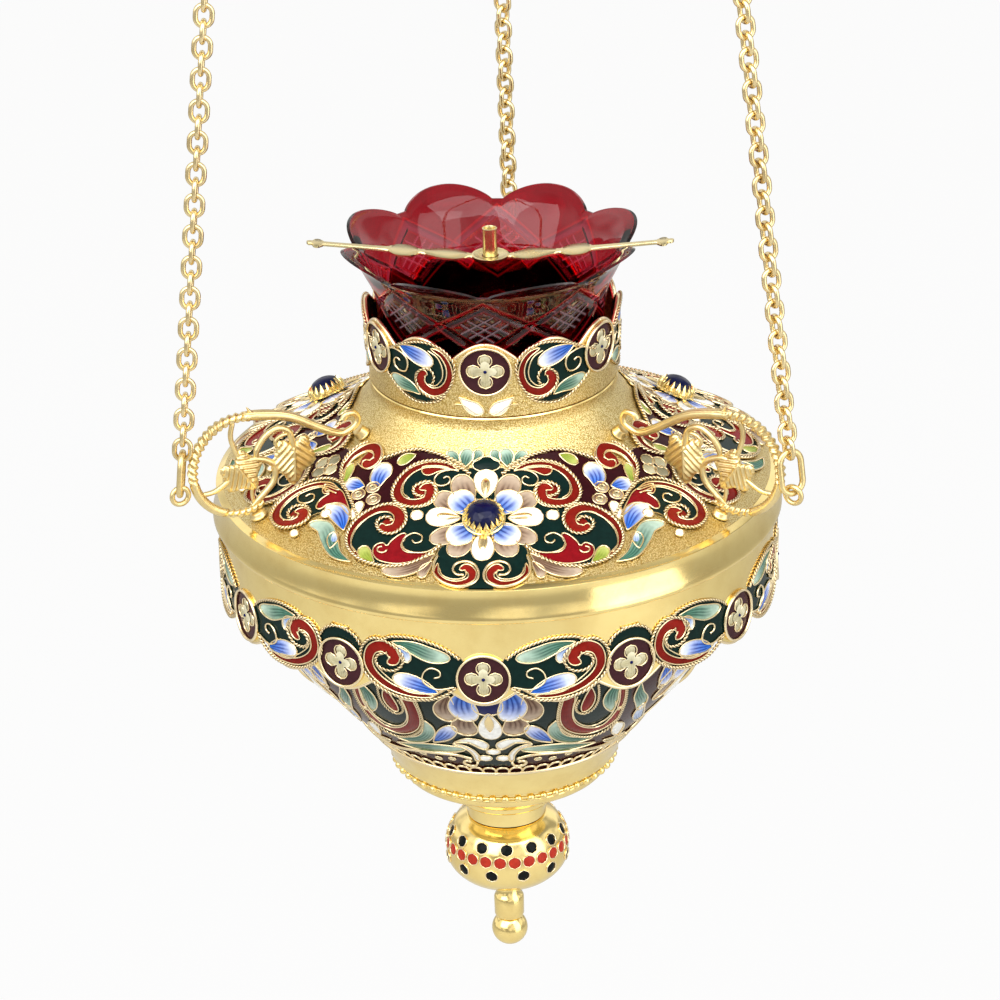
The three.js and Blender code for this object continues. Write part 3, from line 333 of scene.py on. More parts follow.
def smooth_line(knots, spacing, surface=None, closed=False):
    # Even points along a smooth line through the knots, which are pairs or one run of x, y, x, y
    knots = np.reshape(knots, (-1, 2)).astype(float)
    if closed:
        knots = np.vstack([knots[-1:], knots, knots[:2]])
    else:
        knots = np.vstack([2 * knots[0] - knots[1], knots, 2 * knots[-1] - knots[-2]])
    t = np.linspace(0, 1, 12, endpoint=False)[:, None]
    runs = [0.5 * (2 * b + (c - a) * t + (2 * a - 5 * b + 4 * c - d) * t ** 2
                   + (3 * b - a - 3 * c + d) * t ** 3)
            for a, b, c, d in zip(knots, knots[1:], knots[2:], knots[3:])]
    dense = np.vstack(runs + [knots[-2:-1]])
    placed = surface(dense[:, 0], dense[:, 1], 0.0) if surface else dense
    length = np.concatenate([[0], np.cumsum(np.linalg.norm(np.diff(placed, axis=0), axis=1))])
    count = max(8, int(length[-1] / spacing))
    even = np.linspace(0, length[-1], count, endpoint=not closed)
    return np.stack([np.interp(even, length, dense[:, k]) for k in range(dense.shape[1])], -1)


def swept(path, facing, half, sides=8, closed=False, flat=1.0, lobes=0, depth=0.0, pitch=1.0):
    # Tube along a path. A lobed section that turns along the path makes a twisted wire.
    if closed:
        tangent = np.roll(path, -1, 0) - np.roll(path, 1, 0)
    else:
        tangent = np.gradient(path, axis=0)
    tangent /= np.linalg.norm(tangent, axis=1, keepdims=True) + 1e-9
    facing = np.broadcast_to(facing, path.shape)
    side = np.cross(tangent, facing)
    side /= np.linalg.norm(side, axis=1, keepdims=True) + 1e-9
    lift = np.cross(side, tangent)
    half = np.broadcast_to(half, len(path)).astype(float)
    depth = np.broadcast_to(depth, len(path)).astype(float)
    step = np.linalg.norm(np.diff(path, axis=0, append=path[:1] if closed else path[-1:]), axis=1)
    length = np.concatenate([[0], np.cumsum(step)[:-1]])
    around = np.arange(sides) / sides * 2 * math.pi
    section = 1 - depth[:, None] * (0.5 - 0.5 * np.cos(max(lobes, 1) * around))[None]
    wound = 2 * math.pi * length / (lobes * pitch) if lobes else 0 * length
    twist = wound[:, None] + around[None]
    reach = half[:, None] * section
    points = (path[:, None] + side[:, None] * (np.cos(twist) * reach)[..., None]
              + lift[:, None] * (np.sin(twist) * reach * flat)[..., None])
    if not closed:
        ends = [path[None, [end]] * np.ones((1, sides, 1)) for end in (0, -1)]
        points = np.concatenate([ends[0], points, ends[1]])
    return points.reshape(-1, 3), grid_faces(len(points), sides, closed, True)[:, ::-1]


class Ornament:
    """Gathers one region's sheet, enamel and wires into a single soldered piece."""

    def __init__(self, surface, lift):
        self.surface, self.lift = surface, lift
        self.points, self.faces, self.kinds, self.tints, self.fields, self.count = [], [], [], [], [], 0

    def put(self, points, faces, kind, tint):
        self.points.append(points)
        self.faces.append(faces + self.count)
        self.kinds.append(np.full(len(faces), kind))
        self.tints.append(np.broadcast_to(tint, (len(points), 4)))
        self.count += len(points)

    def facing(self, line):
        low = self.surface(line[:, 0], line[:, 1], 0.0)
        return (self.surface(line[:, 0], line[:, 1], 0.2) - low) / 0.2

    def scale(self, line):
        # Millimetres for each degree and for each unit of the second coordinate
        a, q = line[:, 0], line[:, 1]
        one = np.linalg.norm(self.surface(a + 0.1, q, 0.0) - self.surface(a - 0.1, q, 0.0), axis=1) / 0.2
        two = np.linalg.norm(self.surface(a, q + 0.1, 0.0) - self.surface(a, q - 0.1, 0.0), axis=1) / 0.2
        return np.stack([one, two], -1)

    def wire(self, knots, half=0.24, closed=False, smooth=True):
        line = smooth_line(knots, 0.55, self.surface, closed) if smooth else knots
        path = self.surface(line[:, 0], line[:, 1], self.lift + half * 1.2)
        self.put(*swept(path, self.facing(line), half, 6, closed, flat=1.5), 1, (0, 0, 0, 1))

    def rope(self, knots, half=0.66, pitch=1.3, closed=False):
        # The grooves between the two strands are painted dark through the tint's red channel, as painted
        # shade
        line = smooth_line(knots, pitch / 4, self.surface, closed)
        path = self.surface(line[:, 0], line[:, 1], self.lift + half * 0.8)
        points, faces = swept(path, self.facing(line), half, 8, closed, lobes=2, depth=0.5, pitch=pitch)
        tints = np.zeros((len(points), 4))
        tints[:, 0] = np.tile([0, 0.2, 1, 0.2, 0, 0.2, 1, 0.2], len(points) // 8)
        self.put(points, faces, 1, tints)

    def cell(self, knots, half, style, shape="leaf", dome=0.4, wire=0.24, base=0.05):
        # One cloison of enamel: a spine with a width that follows the named shape, crowned a little
        line = smooth_line(knots, 0.45, self.surface)
        scale = self.scale(line)
        along = np.gradient(line, axis=0) * scale
        along /= np.linalg.norm(along, axis=1, keepdims=True) + 1e-9
        beside = np.stack([-along[:, 1], along[:, 0]], -1) / scale
        s = np.linspace(0, 1, len(line))
        petal = np.where(s < 0.62, np.sin(math.pi / 2 * np.minimum(1, s / 0.62)) ** 0.85,
                         np.sqrt(np.maximum(0, 1 - ((s - 0.62) / 0.38) ** 2)))
        widths = {"leaf": np.sin(math.pi * s) ** 0.75, "petal": petal,
                  "bud": np.sin(math.pi * (1 - s) ** 1.5) ** 0.7,
                  "oval": np.sqrt(np.maximum(0, 1 - (2 * s - 1) ** 2)),
                  "band": np.minimum(1, np.minimum(7 * s, 7 * (1 - s))) ** 0.5,
                  "comma": (0.35 + 0.65 * s ** 1.5) * np.minimum(1, np.minimum(12 * s, 9 * (1 - s))) ** 0.5}
        width = np.nan_to_num(widths[shape]) * half
        u = np.linspace(-1, 1, 17 if half > 1.4 else 9)
        spread = line[:, None] + beside[:, None] * (width[:, None] * u[None])[..., None]
        lift = self.lift + base + dome * (1 - u[None] ** 2) * (width / max(half, 1e-6))[:, None]
        points = self.surface(spread[..., 0], spread[..., 1], lift).reshape(-1, 3)
        tint = enamel_colour(style, s[:, None], u[None])
        self.put(points, grid_faces(len(line), len(u))[:, ::-1], 0, tint.reshape(-1, 4))
        if wire:
            edge = line[:, None] + beside[:, None] * (width[:, None] * np.array([-1, 1])[None])[..., None]
            border = np.vstack([edge[:, 0], edge[-2:0:-1, 1]])
            self.wire(border, wire, closed=True, smooth=False)

    def cells(self, shape, *rows, **extra):
        # Each row is a style, half the width and the knots of the spine
        for style, half, *knots in rows:
            self.cell(knots, half, style, shape, **extra)

    def fill(self, knots, style, wire=0.24):
        # Flat enamel inside a closed outline of wire; the sheet carries its colour
        self.fields.append((smooth_line(knots, 1.0, None, closed=True), style))
        if wire:
            self.wire(knots, wire, closed=True)

    def pearl(self, centre, radius, style, dome=0.5, wire=0.22, base=0.05):
        x, y = centre
        reach = radius / self.scale(np.array([centre], float))[0, 1]
        self.cell([(x, y - reach), (x, y + reach)], radius, style, "oval", dome, wire, base)

    def sheet(self, angles, low, high, steps, ground=(0, 0, 0, 0), thickness=0.0, open_ground=False, bare=0):
        # The sheet under the wires: bare gilding, with enamel where it lies in one of the fields
        a = np.linspace(*angles, steps[0])
        t = np.linspace(0, 1, steps[1])
        turn = np.repeat(a[:, None], steps[1], 1)
        low, high = (edge(a)[:, None] if callable(edge) else edge + 0 * a[:, None] for edge in (low, high))
        rise = low * (1 - t[None]) + high * t[None]
        tint = np.broadcast_to(np.array(ground, float), (*steps, 4)).copy()
        for field, style in self.fields:
            inside = np.zeros(turn.shape, bool)
            for (x1, y1), (x2, y2) in zip(field, np.roll(field, -1, 0)):
                border = (x2 - x1) * (rise - y1) / (y2 - y1 + 1e-12) + x1
                inside ^= ((y1 > rise) != (y2 > rise)) & (turn < border)
            tint[inside] = enamel_colour(style, np.array([[0.5]]), np.array([[0.9]]))[0, 0]
        points = self.surface(turn, rise, self.lift).reshape(-1, 3)
        faces = grid_faces(steps[0], steps[1])
        if open_ground:
            faces = faces[tint[..., 3].reshape(-1)[faces].max(1) > 0.5]
        if thickness:
            under = self.surface(turn, rise, self.lift - thickness).reshape(-1, 3)
            rim = np.arange(len(points)).reshape(turn.shape)
            walls = [np.stack([edge[:-1], edge[:-1] + len(points), edge[1:] + len(points), edge[1:]], -1)
                     for edge in (rim[:, -1], rim[::-1, 0])]
            faces = np.concatenate([faces, faces[:, ::-1] + len(points)] + walls)
            points = np.concatenate([points, under])
            tint = np.concatenate([tint.reshape(-1, 4), tint.reshape(-1, 4)])
        tint = tint.reshape(-1, 4)
        enamelled = tint[:, 3][faces].max(1) > 0.5
        self.put(points, faces[enamelled], 0, tint)
        self.put(points, faces[~enamelled], bare, tint)

    def reflected(self):
        # The other half: the same pieces seen in a mirror through the middle of the plate
        first = self.count
        for index in range(len(self.points)):
            self.points.append(self.points[index] * (1, -1, 1))
            self.faces.append(self.faces[index][:, ::-1] + first)
            self.kinds.append(self.kinds[index])
            self.tints.append(self.tints[index])
        self.count = 2 * first

    def gathered(self):
        return (np.concatenate(self.points), np.concatenate(self.faces), np.concatenate(self.kinds),
                np.concatenate(self.tints))


# Enamel colours: at the start and at the end of a cell, and its painted strokes
styles = {
    "dark_green": ((0.003, 0.014, 0.012), (0.004, 0.018, 0.015), (0.003, 0.008, 0.008), 0),
    "maroon": ((0.026, 0.003, 0.005), (0.032, 0.004, 0.006), (0.02, 0.002, 0.004), 0),
    "red_brown": ((0.16, 0.008, 0.004), (0.24, 0.012, 0.007), (0.08, 0.003, 0.002), 0.3),
    "crimson": ((0.18, 0.004, 0.007), (0.24, 0.005, 0.010), (0.08, 0.002, 0.004), 0.3),
    "blue_white": ((0.015, 0.15, 0.66), (0.84, 0.86, 0.93), (0.004, 0.02, 0.20), 0.95),
    "pale_blue": ((0.22, 0.36, 0.62), (0.78, 0.82, 0.88), (0.02, 0.06, 0.30), 0.6),
    "grey_green": ((0.07, 0.20, 0.14), (0.46, 0.58, 0.48), (0.008, 0.04, 0.03), 0.85),
    "taupe": ((0.22, 0.13, 0.08), (0.50, 0.40, 0.30), (0.05, 0.015, 0.01), 0.85),
    "beige": ((0.30, 0.24, 0.12), (0.56, 0.50, 0.32), (0.08, 0.05, 0.02), 0.5),
    "lime": ((0.26, 0.34, 0.04), (0.50, 0.54, 0.16), (0.09, 0.12, 0.01), 0.4),
    "white": ((0.86, 0.86, 0.82), (0.90, 0.90, 0.86), (0.6, 0.6, 0.55), 0),
    "cream": ((0.46, 0.42, 0.26), (0.66, 0.62, 0.44), (0.25, 0.2, 0.08), 0.4),
    "dark_blue": ((0.004, 0.006, 0.06), (0.006, 0.008, 0.08), (0.003, 0.004, 0.03), 0),
    "gold": ((0, 0, 0), (0, 0, 0), (0, 0, 0), 0),
    "black": ((0.006, 0.005, 0.005), (0.006, 0.005, 0.005), (0.004, 0.004, 0.004), 0),
}


def enamel_colour(style, s, u):
    start, end, stroke, strength = styles[style]
    share = np.clip(1.15 * s ** 2.4 + 0.5 * np.abs(u) ** 5, 0, 1)[..., None]
    colour = np.array(start) * (1 - share) + np.array(end) * share
    colour = colour * np.ones(np.broadcast_shapes(s.shape, u.shape) + (1,))
    if strength:
        fan = np.exp(-((np.abs(u) - 0.42) / 0.11) ** 2) + np.exp(-(u / 0.1) ** 2)
        fade = np.clip((0.78 - s) * 4, 0, 1) * np.clip(s * 6, 0, 1)
        mask = (np.clip(fan, 0, 1) * fade * strength)[..., None]
        colour = colour * (1 - mask) + np.array(stroke) * mask
    if style == "gold":
        return np.zeros(colour.shape[:-1] + (4,))
    return np.concatenate([colour, np.ones_like(colour[..., :1])], -1)


panel = Ornament(on_shoulder, 0.35)
# Grounds between the scrolls
for knots in (
        (-9, 66, -12, 74, -17, 79, -24, 80, -30, 78, -34, 72, -34, 64, -28, 59, -22, 59.5, -16, 62),
        (-5.5, 47, -15, 44.6, -24, 45, -30, 49, -30.5, 54, -26, 58.6, -20, 60, -14, 64, -8, 60),
        (-36, 66, -46, 59, -54, 59.4, -59, 64, -60, 70, -58, 76, -52, 79, -47.5, 75, -46, 69),
        (2, 85, -5, 84.8, -9.6, 81.5, -10.2, 76, -9, 70, 2, 66), (2, 62, -18, 62, -14, 48, 2, 46)):
    panel.fill(knots, "dark_green", 0)
panel.fill(
    (-48, 58.6, -42, 61, -36.5, 65, -33.8, 63, -28, 59, -30.6, 54, -30, 49, -24, 45, -14, 44.4, -14, 43.4,
     -22, 42.6, -29, 42.6, -36, 44.6, -42, 47.6, -50, 51), "maroon", 0)
panel.fill((-62, 62, -58, 61.6, -55, 59, -50, 57.4, -55, 53, -56.5, 50, -62, 50), "maroon", 0)
# The four scrolls of twisted wire, their red bands and the plain wires inside them
for scroll in (
        (-34.8, 66, -38, 63.5, -42, 61, -46, 59, -50, 58.2, -54, 59, -57.5, 61.5, -59.3, 65, -60, 69,
         -59, 74, -56.5, 77.5, -53, 79, -50, 78.5, -47.6, 76, -46.8, 73, -48, 70.5, -50.5, 69.5, -53, 70.6,
         -53.8, 72.5, -52.8, 74.4, -51, 75, -50.3, 74),
        (-10, 70.5, -12, 74, -15, 77.5, -18, 79.5, -22, 80.3, -27, 79.5, -31, 77, -33.7, 73, -34.6, 68,
         -33.5, 64, -30.5, 60.5, -26.5, 59, -23.3, 60.2, -21.4, 63, -21.2, 66, -22.5, 68.6, -25, 69.3,
         -27.5, 68, -28.6, 66, -27.8, 64.3, -26, 63.8, -24.8, 64.8),
        (-5.5, 47, -9, 45.6, -14, 44.6, -19, 44.2, -25, 45.2, -28.6, 47.2, -30.6, 51, -30, 55.4, -27, 58.3,
         -23, 59.1, -19.5, 58.5, -16.8, 56.6, -16, 54, -16.8, 51.5, -19.2, 50.3, -21.7, 50.8, -23.7, 52.5,
         -23, 54.3, -21, 55, -19.3, 54.9),
        (-46.8, 58.4, -51, 56.4, -55, 53.2, -56.8, 50, -56, 47, -53, 44.8),
        (-42.5, 47.6, -39, 45.8, -34, 43.6, -28, 42.4, -21, 42.5, -14, 43.4, -8, 45)):
    panel.rope(scroll)
for band in (
        (-47, 60.3, -52, 60.4, -56, 62.8, -58.3, 67, -58.2, 72, -56, 76, -52.5, 77.6, -49.4, 76, -48.6, 73,
         -50.4, 71.2, -52.2, 72.4),
        (-27.5, 78.6, -31.4, 76, -33.4, 71.5, -33.4, 67, -31.3, 62.9, -28, 60.8, -24.8, 61.4, -22.9, 64,
         -23.4, 67, -25.8, 67.7, -27.2, 66.2),
        (-10.5, 45.9, -16, 45.1, -22, 45.5, -27, 47.6, -29.2, 51, -28.6, 54.8, -25.5, 57.4, -21.5, 57.7,
         -18, 56.2, -17.3, 53.3, -19.3, 51.8, -21.8, 52.8),
        (-49, 57.4, -53, 54, -54.6, 50, -52.5, 46.7, -48.5, 45.3, -44.8, 46.2, -43.6, 48.4, -45.5, 50,
         -48.5, 49.6)):
    panel.cell(band, 2.1, "red_brown", "comma", 0.35)
for line in (
        (-48, 61.7, -52.4, 61.9, -55.3, 64.4, -56.9, 68.6, -56.4, 73, -54.5, 75.8, -52, 76.4),
        (-29, 77.6, -31, 75.6, -32.3, 72, -32.5, 68.6, -31.6, 65, -29.6, 62.6, -27, 62),
        (-10, 46.3, -15, 45.9, -20, 46, -24.4, 47, -27.2, 49.4, -27.8, 52, -26.4, 54.8, -23.5, 56.2),
        (-50.6, 56.2, -53, 52.6, -52.6, 49.2, -50, 47, -46.6, 46.9, -45.3, 48),
        (-55, 52.6, -55.8, 49.6, -54.6, 46.4, -50, 44.4, -46, 44.5, -43, 46.4, -42.5, 49, -45, 51.3,
         -49.8, 51)):
    panel.wire(line)
for x, y in ((-50.6, 72.6), (-25, 66.3), (-20.4, 53), (-47, 48.6)):
    turn = np.radians(np.arange(0, 360, 45))
    panel.fill(np.stack([x + 170 / y * np.cos(turn), y + 2.9 * np.sin(turn)], -1), "red_brown", 0)
# Crimson leaves that end in small curls, and pale spirals of wire
panel.fill(
    (-11.4, 73, -14, 76.2, -18, 78.6, -22.4, 78.6, -24.8, 76.6, -25.4, 74, -24, 72.5, -22.6, 73.2,
     -22.2, 71.2, -21, 68.8, -19.6, 68, -19.2, 70, -19.4, 72.2, -17.6, 74.2, -14.6, 74), "crimson")
panel.fill(
    (-52.6, 60.6, -51.8, 62.6, -50, 63.4, -48.6, 62.4, -49.2, 65.6, -48, 68.2, -46.4, 68, -45.6, 65.6,
     -42, 64.6, -38.6, 66, -36.4, 66.6, -41, 62.8, -46, 60.2), "crimson")
panel.fill((-23.8, 46.3, -23, 48, -20.4, 48.3, -17.4, 46.9, -13.6, 45.8, -18, 45.4), "red_brown")
for pale in (
        (-10.5, 71, -13, 73.6, -16.5, 74.1, -19, 72.4, -19.3, 69.5, -17.5, 67.5, -15.3, 68.2, -15, 70,
         -16.2, 70.9, -17.3, 70), (-22, 74.6, -22.6, 75.8, -24, 75.6, -24.4, 74.4, -23.6, 73.8),
        (-10, 46, -14, 46.3, -17, 47.4, -18, 49, -16.8, 50.6, -14.6, 50.9, -12.7, 50, -12.5, 48.6,
         -13.8, 48, -14.9, 48.7),
        (-57.2, 66, -56, 68.5, -54, 69.4, -51.8, 68.6, -51, 66.8, -52.2, 65.3, -53.8, 65.7, -54.1, 67),
        (-52, 61.4, -50.4, 62.6, -49, 61.8, -46.6, 61.6)):
    panel.wire(pale, 0.28)
# Lime drops, leaves beside the plate's outline and the fan at its head
panel.cells(
    "petal", ("lime", 2.0, -23.5, 79.5, -26, 78, -28.2, 75),
    ("lime", 1.7, -28.6, 43.7, -31.5, 45, -34.4, 47), ("lime", 1.8, -46.6, 59.2, -49.4, 55.8, -51.6, 51.6),
    ("grey_green", 2.6, -28.6, 81, -33, 79.6, -37.5, 75.4, -41, 72.8, -45.4, 73.4),
    ("pale_blue", 1.7, -35, 78.6, -36, 76, -37.4, 73.2),
    ("blue_white", 3.0, -35.4, 71.6, -38.4, 68.4, -41.4, 66.6, -45.6, 66.6),
    ("taupe", 2.3, -10.8, 73.6, -13.4, 78, -17, 80.9, -21, 81.6),
    ("taupe", 1.5, -10.9, 76.4, -12.2, 80, -12, 82.6), ("grey_green", 1.7, -9.6, 44.6, -13, 43, -16, 41.8),
    ("grey_green", 2.1, -8.6, 45.4, -8, 42.6, -6.6, 40.9),
    ("grey_green", 1.5, -5, 43.8, -3.6, 42.2, -2.4, 41),
    ("blue_white", 2.7, -40.2, 56.2, -43.6, 57, -47.4, 57.4),
    ("blue_white", 3.3, -35.4, 55.4, -37.8, 52, -38.2, 47.6))
panel.pearl((-43.8, 68.6), 1.7, "white", 0.9)
panel.cell((-35.6, 67.4, -36.6, 64, -36.9, 61), 1.7, "white", "petal", 0.7)
panel.pearl((-46.4, 78.3), 1.4, "white", 0.8)
for x, y in ((-40, 59.2), (-34.2, 59.2), (-37.2, 55.7)):
    panel.pearl((x, y), 2.2, "taupe", 0.3)
    panel.pearl((x, y), 1.1, "beige", 0.7)
    panel.pearl((x, y), 0.35, "black", 0.9, wire=0)
for x, y in ((-60, 59.0), (-60, 54.0), (-57.3, 56.5)):
    panel.pearl((x, y), 2.3, "cream", 0.4)
panel.pearl((-60, 56.5), 0.8, "black", 0.8)
# The heads at the outer edge: dark bodies with a red spiral
panel.cell(
    (-9.6, 77, -9.3, 80.4, -7.2, 83, -4.4, 83.7, -2.2, 82.2, -1.9, 79.8, -3.3, 78, -4.6, 79), 1.5,
    "red_brown", "comma")
panel.wire(
    (-10, 74.5, -10.3, 78, -9.5, 81.4, -7, 84, -4, 84.9, -1.3, 83.4, -0.5, 80.5, -1.4, 77.4, -3.4, 76.1,
     -5.5, 77, -6, 79.2, -5, 80.8, -3.6, 80.8), 0.4)
panel.wire((-9, 78.6, -8, 81, -6, 82.2, -4, 82, -3.2, 80.8, -3.3, 79.4))
# Flower: an outer ring of taupe petals, blue petals inside them
panel.cells(
    "petal", ("taupe", 3.4, -3, 65, -5, 69, -6.8, 74.4), ("taupe", 3.3, -5, 63.4, -8.4, 66.4, -13, 69.4),
    ("taupe", 3.3, -6, 58.4, -10, 56.6, -15.6, 53.4), ("taupe", 3.5, -4, 57, -6.4, 52.6, -9.6, 47.2),
    dome=0.2)
panel.cells(
    "petal", ("blue_white", 4.1, -1.4, 62.6, -4.8, 65.6, -8.8, 69),
    ("blue_white", 4.1, -2, 59.6, -5.8, 56.4, -10.2, 52.6), base=0.3, dome=0.5)
panel.cell((-6.4, 61, -12, 61, -16.3, 61), 3.5, "white", "petal", 0.6, base=0.5)
panel.cell((-6.6, 61, -10, 61, -13.2, 61), 1.25, "gold", "petal", 0.7, wire=0.16, base=1.15)
panel.pearl((-18.9, 61.3), 1.9, "white", 0.9)
panel.sheet((-60, 0.0), 40.4, 85, (330, 130), open_ground=True)
panel.reflected()
panel.cell((-5.3, 44.5, 0, 44.3, 5.3, 44.5), 2.4, "dark_green", "oval", 0.5, base=0.3)
panel.cells(
    "petal", ("white", 3.3, 0, 65, 0, 70, 0, 75.6), ("white", 3.5, 0, 54, 0, 50, 0, 45.6), base=0.5,
    dome=0.6)
panel.cells(
    "petal", ("gold", 1.35, 0, 65, 0, 69, 0, 72.6), ("gold", 1.35, 0, 54, 0, 51, 0, 48.2), base=1.15,
    dome=0.7, wire=0.16)

filigree_enamel, tree, shader = new_finish("filigree_enamel", {"Coat Roughness": 0.06,
                                                               "Specular IOR Level": 0.06})
tint = add_node(tree, "VertexColor", layer_name="tint")
cloud = noise(tree, 520, 6)
uneven = blended(tree, 1, tint["Color"], mapped(tree, cloud, 0, 1, 0.62, 1.34), blend_type="MULTIPLY")
bare_sheet = gilding(tree, (0.94, 0.74, 0.38, 1), (0.56, 0.34, 0.11, 1), 0.3, 0.16)
connect(tree, shader, {
    "Base Color": blended(tree, tint["Alpha"], bare_sheet["Color"], uneven),
    "Metallic": reckoned(tree, "SUBTRACT", 1, tint["Alpha"]),
    "Roughness": mapped(tree, tint["Alpha"], 0, 1, 0.16, 0.18),
    "Coat Weight": reckoned(tree, "MULTIPLY", tint["Alpha"], 0.04),
    "Normal": bumped(tree, cloud, 0.25)})
filigree_wire = gilt_finish("filigree_wire", (0.96, 0.80, 0.50, 1), (0.60, 0.38, 0.15, 1), 0.2, 0.2)
tree = filigree_wire.node_tree
shader = tree.nodes["Principled BSDF"]
film_colour = shader.inputs["Base Color"].links[0].from_socket
# The grooves between the strands of the twisted wire are darkened here: painted shade
painted_groove_shade = add_node(tree, "SeparateColor", {0: add_node(tree, "VertexColor", layer_name="tint")["Color"]})[0]
connect(tree, shader, {"Base Color": blended(tree, painted_groove_shade, film_colour, (0.16, 0.08, 0.025, 1))})

for number, azimuth in enumerate(plate_turns, 1):
    add_piece(f"shoulder_plate_{number}", panel.gathered(), [filigree_enamel, filigree_wire],
              replaced=[f"shoulder_panel_{number}"], sharp=0, turn=azimuth)

# Cabochons: a domed dark-blue stone sits in a cup with a toothed edge at the middle of each plate,
# and the teeth are bent in over the stone's girdle.
cabochon_distance, cabochon_lift = 61.6, 1.4
stone_radius, stone_dome, setting_wall, teeth, gap = 5.2, 3.6, 0.6, 17, 0.3
blue_stone, tree, shader = new_finish("blue_stone", {"Roughness": 0.04, "Specular IOR Level": 0.22})
connect(tree, shader, {"Base Color": ramp(tree, noise(tree, 260), (0.002, 0.003, 0.018, 1),
                                          (0.004, 0.006, 0.055, 1))})


def swung(first, second, angle):
    return (first * math.cos(angle) - second * math.sin(angle),
            first * math.sin(angle) + second * math.cos(angle))


def on_slope(points, distance, lift=0.0):
    # From a piece's own upright axis to the shoulder's slope at a distance from the lamp's axis
    x, z = swung(points[:, 0], points[:, 2], -math.atan2(slope_at(distance), 1))
    return np.stack([x, points[:, 1], z], -1) + on_shoulder(0.0, np.array(distance), lift)


dome = [(stone_radius * math.cos(t), 1.9 + stone_dome * math.sin(t)) for t in np.linspace(0, math.pi / 2, 16)]
stone_points, stone_faces = turned([(0, 0.9), (stone_radius, 0.9)] + dome, 64)
outer = stone_radius + gap + setting_wall
cup_points, cup_faces = turned([(0, 0), (outer + 0.3, 0), (outer + 0.3, 0.5), (outer, 0.7), (outer, 2.2),
                                (outer - 0.1, 2.5), (outer - 0.6, 2.5), (outer - 0.55, 0.6), (0, 0.6)], 272)
swing = np.arctan2(cup_points[:, 1], cup_points[:, 0]) * teeth / math.pi
tooth = 1 - np.abs(swing % 2 - 1)
edge = (cup_points[:, 2] > 2.3) & (np.hypot(cup_points[:, 0], cup_points[:, 1]) > 1)
cup_points[edge, 2] += 2.5 * tooth[edge] - 0.9
cup_points[edge, :2] *= 1 - 0.2 * tooth[edge, None]
for number, azimuth in enumerate(plate_turns, 1):
    for name, node, points, faces, finish in (
            ("blue_cabochon", "cabochon", stone_points, stone_faces, (blue_stone, "blue_stone")),
            ("toothed_bezel", "bezel", cup_points, cup_faces, (polished_gilt, "polished_gilt"))):
        add_piece(f"{name}_{number}", (on_slope(points, cabochon_distance, cabochon_lift), faces),
                  [finish[0]], replaced=[f"{node}_{number}"], turn=azimuth)

# Collar gallery: a thin wall round the cup, sawn into twelve round lobes, that flares a little. Six
# medallions and six pairs of scroll plates lie on it, with white wing leaves at the feet of the medallions.
neck_foot, collar_height = neck_top + gap, 23.5


def on_collar(turn, height, lift):
    return polar(neck_radius + (np.asarray(height) - neck_foot) / collar_height + lift, turn, height)


def medallion(art, centre, outer):
    # Gold rim round dark enamel with a four-petalled flower
    size = art.scale(np.array([centre], float))[0]
    art.pearl(centre, outer - 0.4, "maroon_brown", 0.15, wire=0)
    rim = centre + polar(outer - 0.35, np.arange(48) * 7.5, 0)[:, :2] / size
    art.wire(rim, 0.45, closed=True, smooth=False)
    for quarter in range(4):
        art.pearl(centre + polar(3.45, 90 * quarter, 0)[:2] / size, 2.05, "cream", 0.3, 0.24)
    for arm in ((3.5 / size[0], 0), (0, 3.5 / size[1])):
        art.cell([np.subtract(centre, arm), np.add(centre, arm)], 1.3, "cream", "band", 0.1, 0, 0.62)
    art.pearl(centre, 0.55, "dark_blue", 0.5, 0, base=0.7)


styles["maroon_brown"] = ((0.045, 0.014, 0.018), (0.045, 0.014, 0.018), (0.02, 0.01, 0.01), 0)
collar = Ornament(on_collar, 0.0)
collar.fill(
    (13.6, 60, 15.4, 63.6, 19.6, 66.2, 25, 67.2, 32, 66.9, 40, 65.2, 50, 62, 61, 60, 61, 56, 52, 54,
     45, 50.6, 38, 48.4, 32, 47.7, 26, 48.3, 19, 50.8, 14.6, 56), "dark_green", 0)
collar.rope(
    (24.6, 54.2, 23.6, 56.6, 25.2, 58.8, 28.4, 58.8, 31.6, 57.4, 33.2, 54.8, 31.6, 52, 28, 50.2, 23, 49.8,
     19, 51.4, 16, 54.2, 14.3, 57.4, 13.6, 60.6, 15.4, 63.6, 19.6, 66.2, 25, 67.3, 32, 67, 40, 65.2,
     48, 62.4, 56, 60), 0.55)
collar.rope((18.4, 51, 22, 49, 26, 48, 32, 47.4, 38, 48.1, 45, 50.4, 52, 54), 0.5)
collar.cell(
    (24.5, 65.8, 19.4, 64, 16.3, 60.4, 16.4, 56.2, 19.4, 53, 24.6, 51.6, 29.2, 52.8, 31, 55.2, 29, 57.2,
     26.8, 57), 1.9, "red_brown", "comma", 0.35)
collar.wire((26, 64.9, 21.6, 63.2, 19.4, 60, 19.4, 57, 21.3, 54.8, 24, 53.6, 26.6, 54))
collar.cells(
    "petal", ("blue_white", 2.8, 42, 64.2, 36, 63.2, 30, 62.2, 23.6, 60.8),
    ("grey_green", 2.2, 31, 50, 36, 51.6, 42, 52.2, 49, 53))
collar.wire(
    (51, 61.6, 45, 62.6, 39, 61.6, 37.2, 59.3, 38.5, 56.6, 42, 56, 45.2, 57, 45.6, 59, 43.5, 59.9,
     41.8, 59.2), 0.3)
collar.cell((0.9, 46.4, 4.6, 47.2, 8, 48.6, 12.4, 51), 2.1, "white", "bud", 0.6)
collar.wire((2, 45.2, 6, 46.4, 10, 48.4, 14.6, 48.6), 0.2)


def collar_top(turn):
    return neck_foot + collar_height - 5.5 * (1 - np.abs(np.cos(np.radians(turn * 6))))


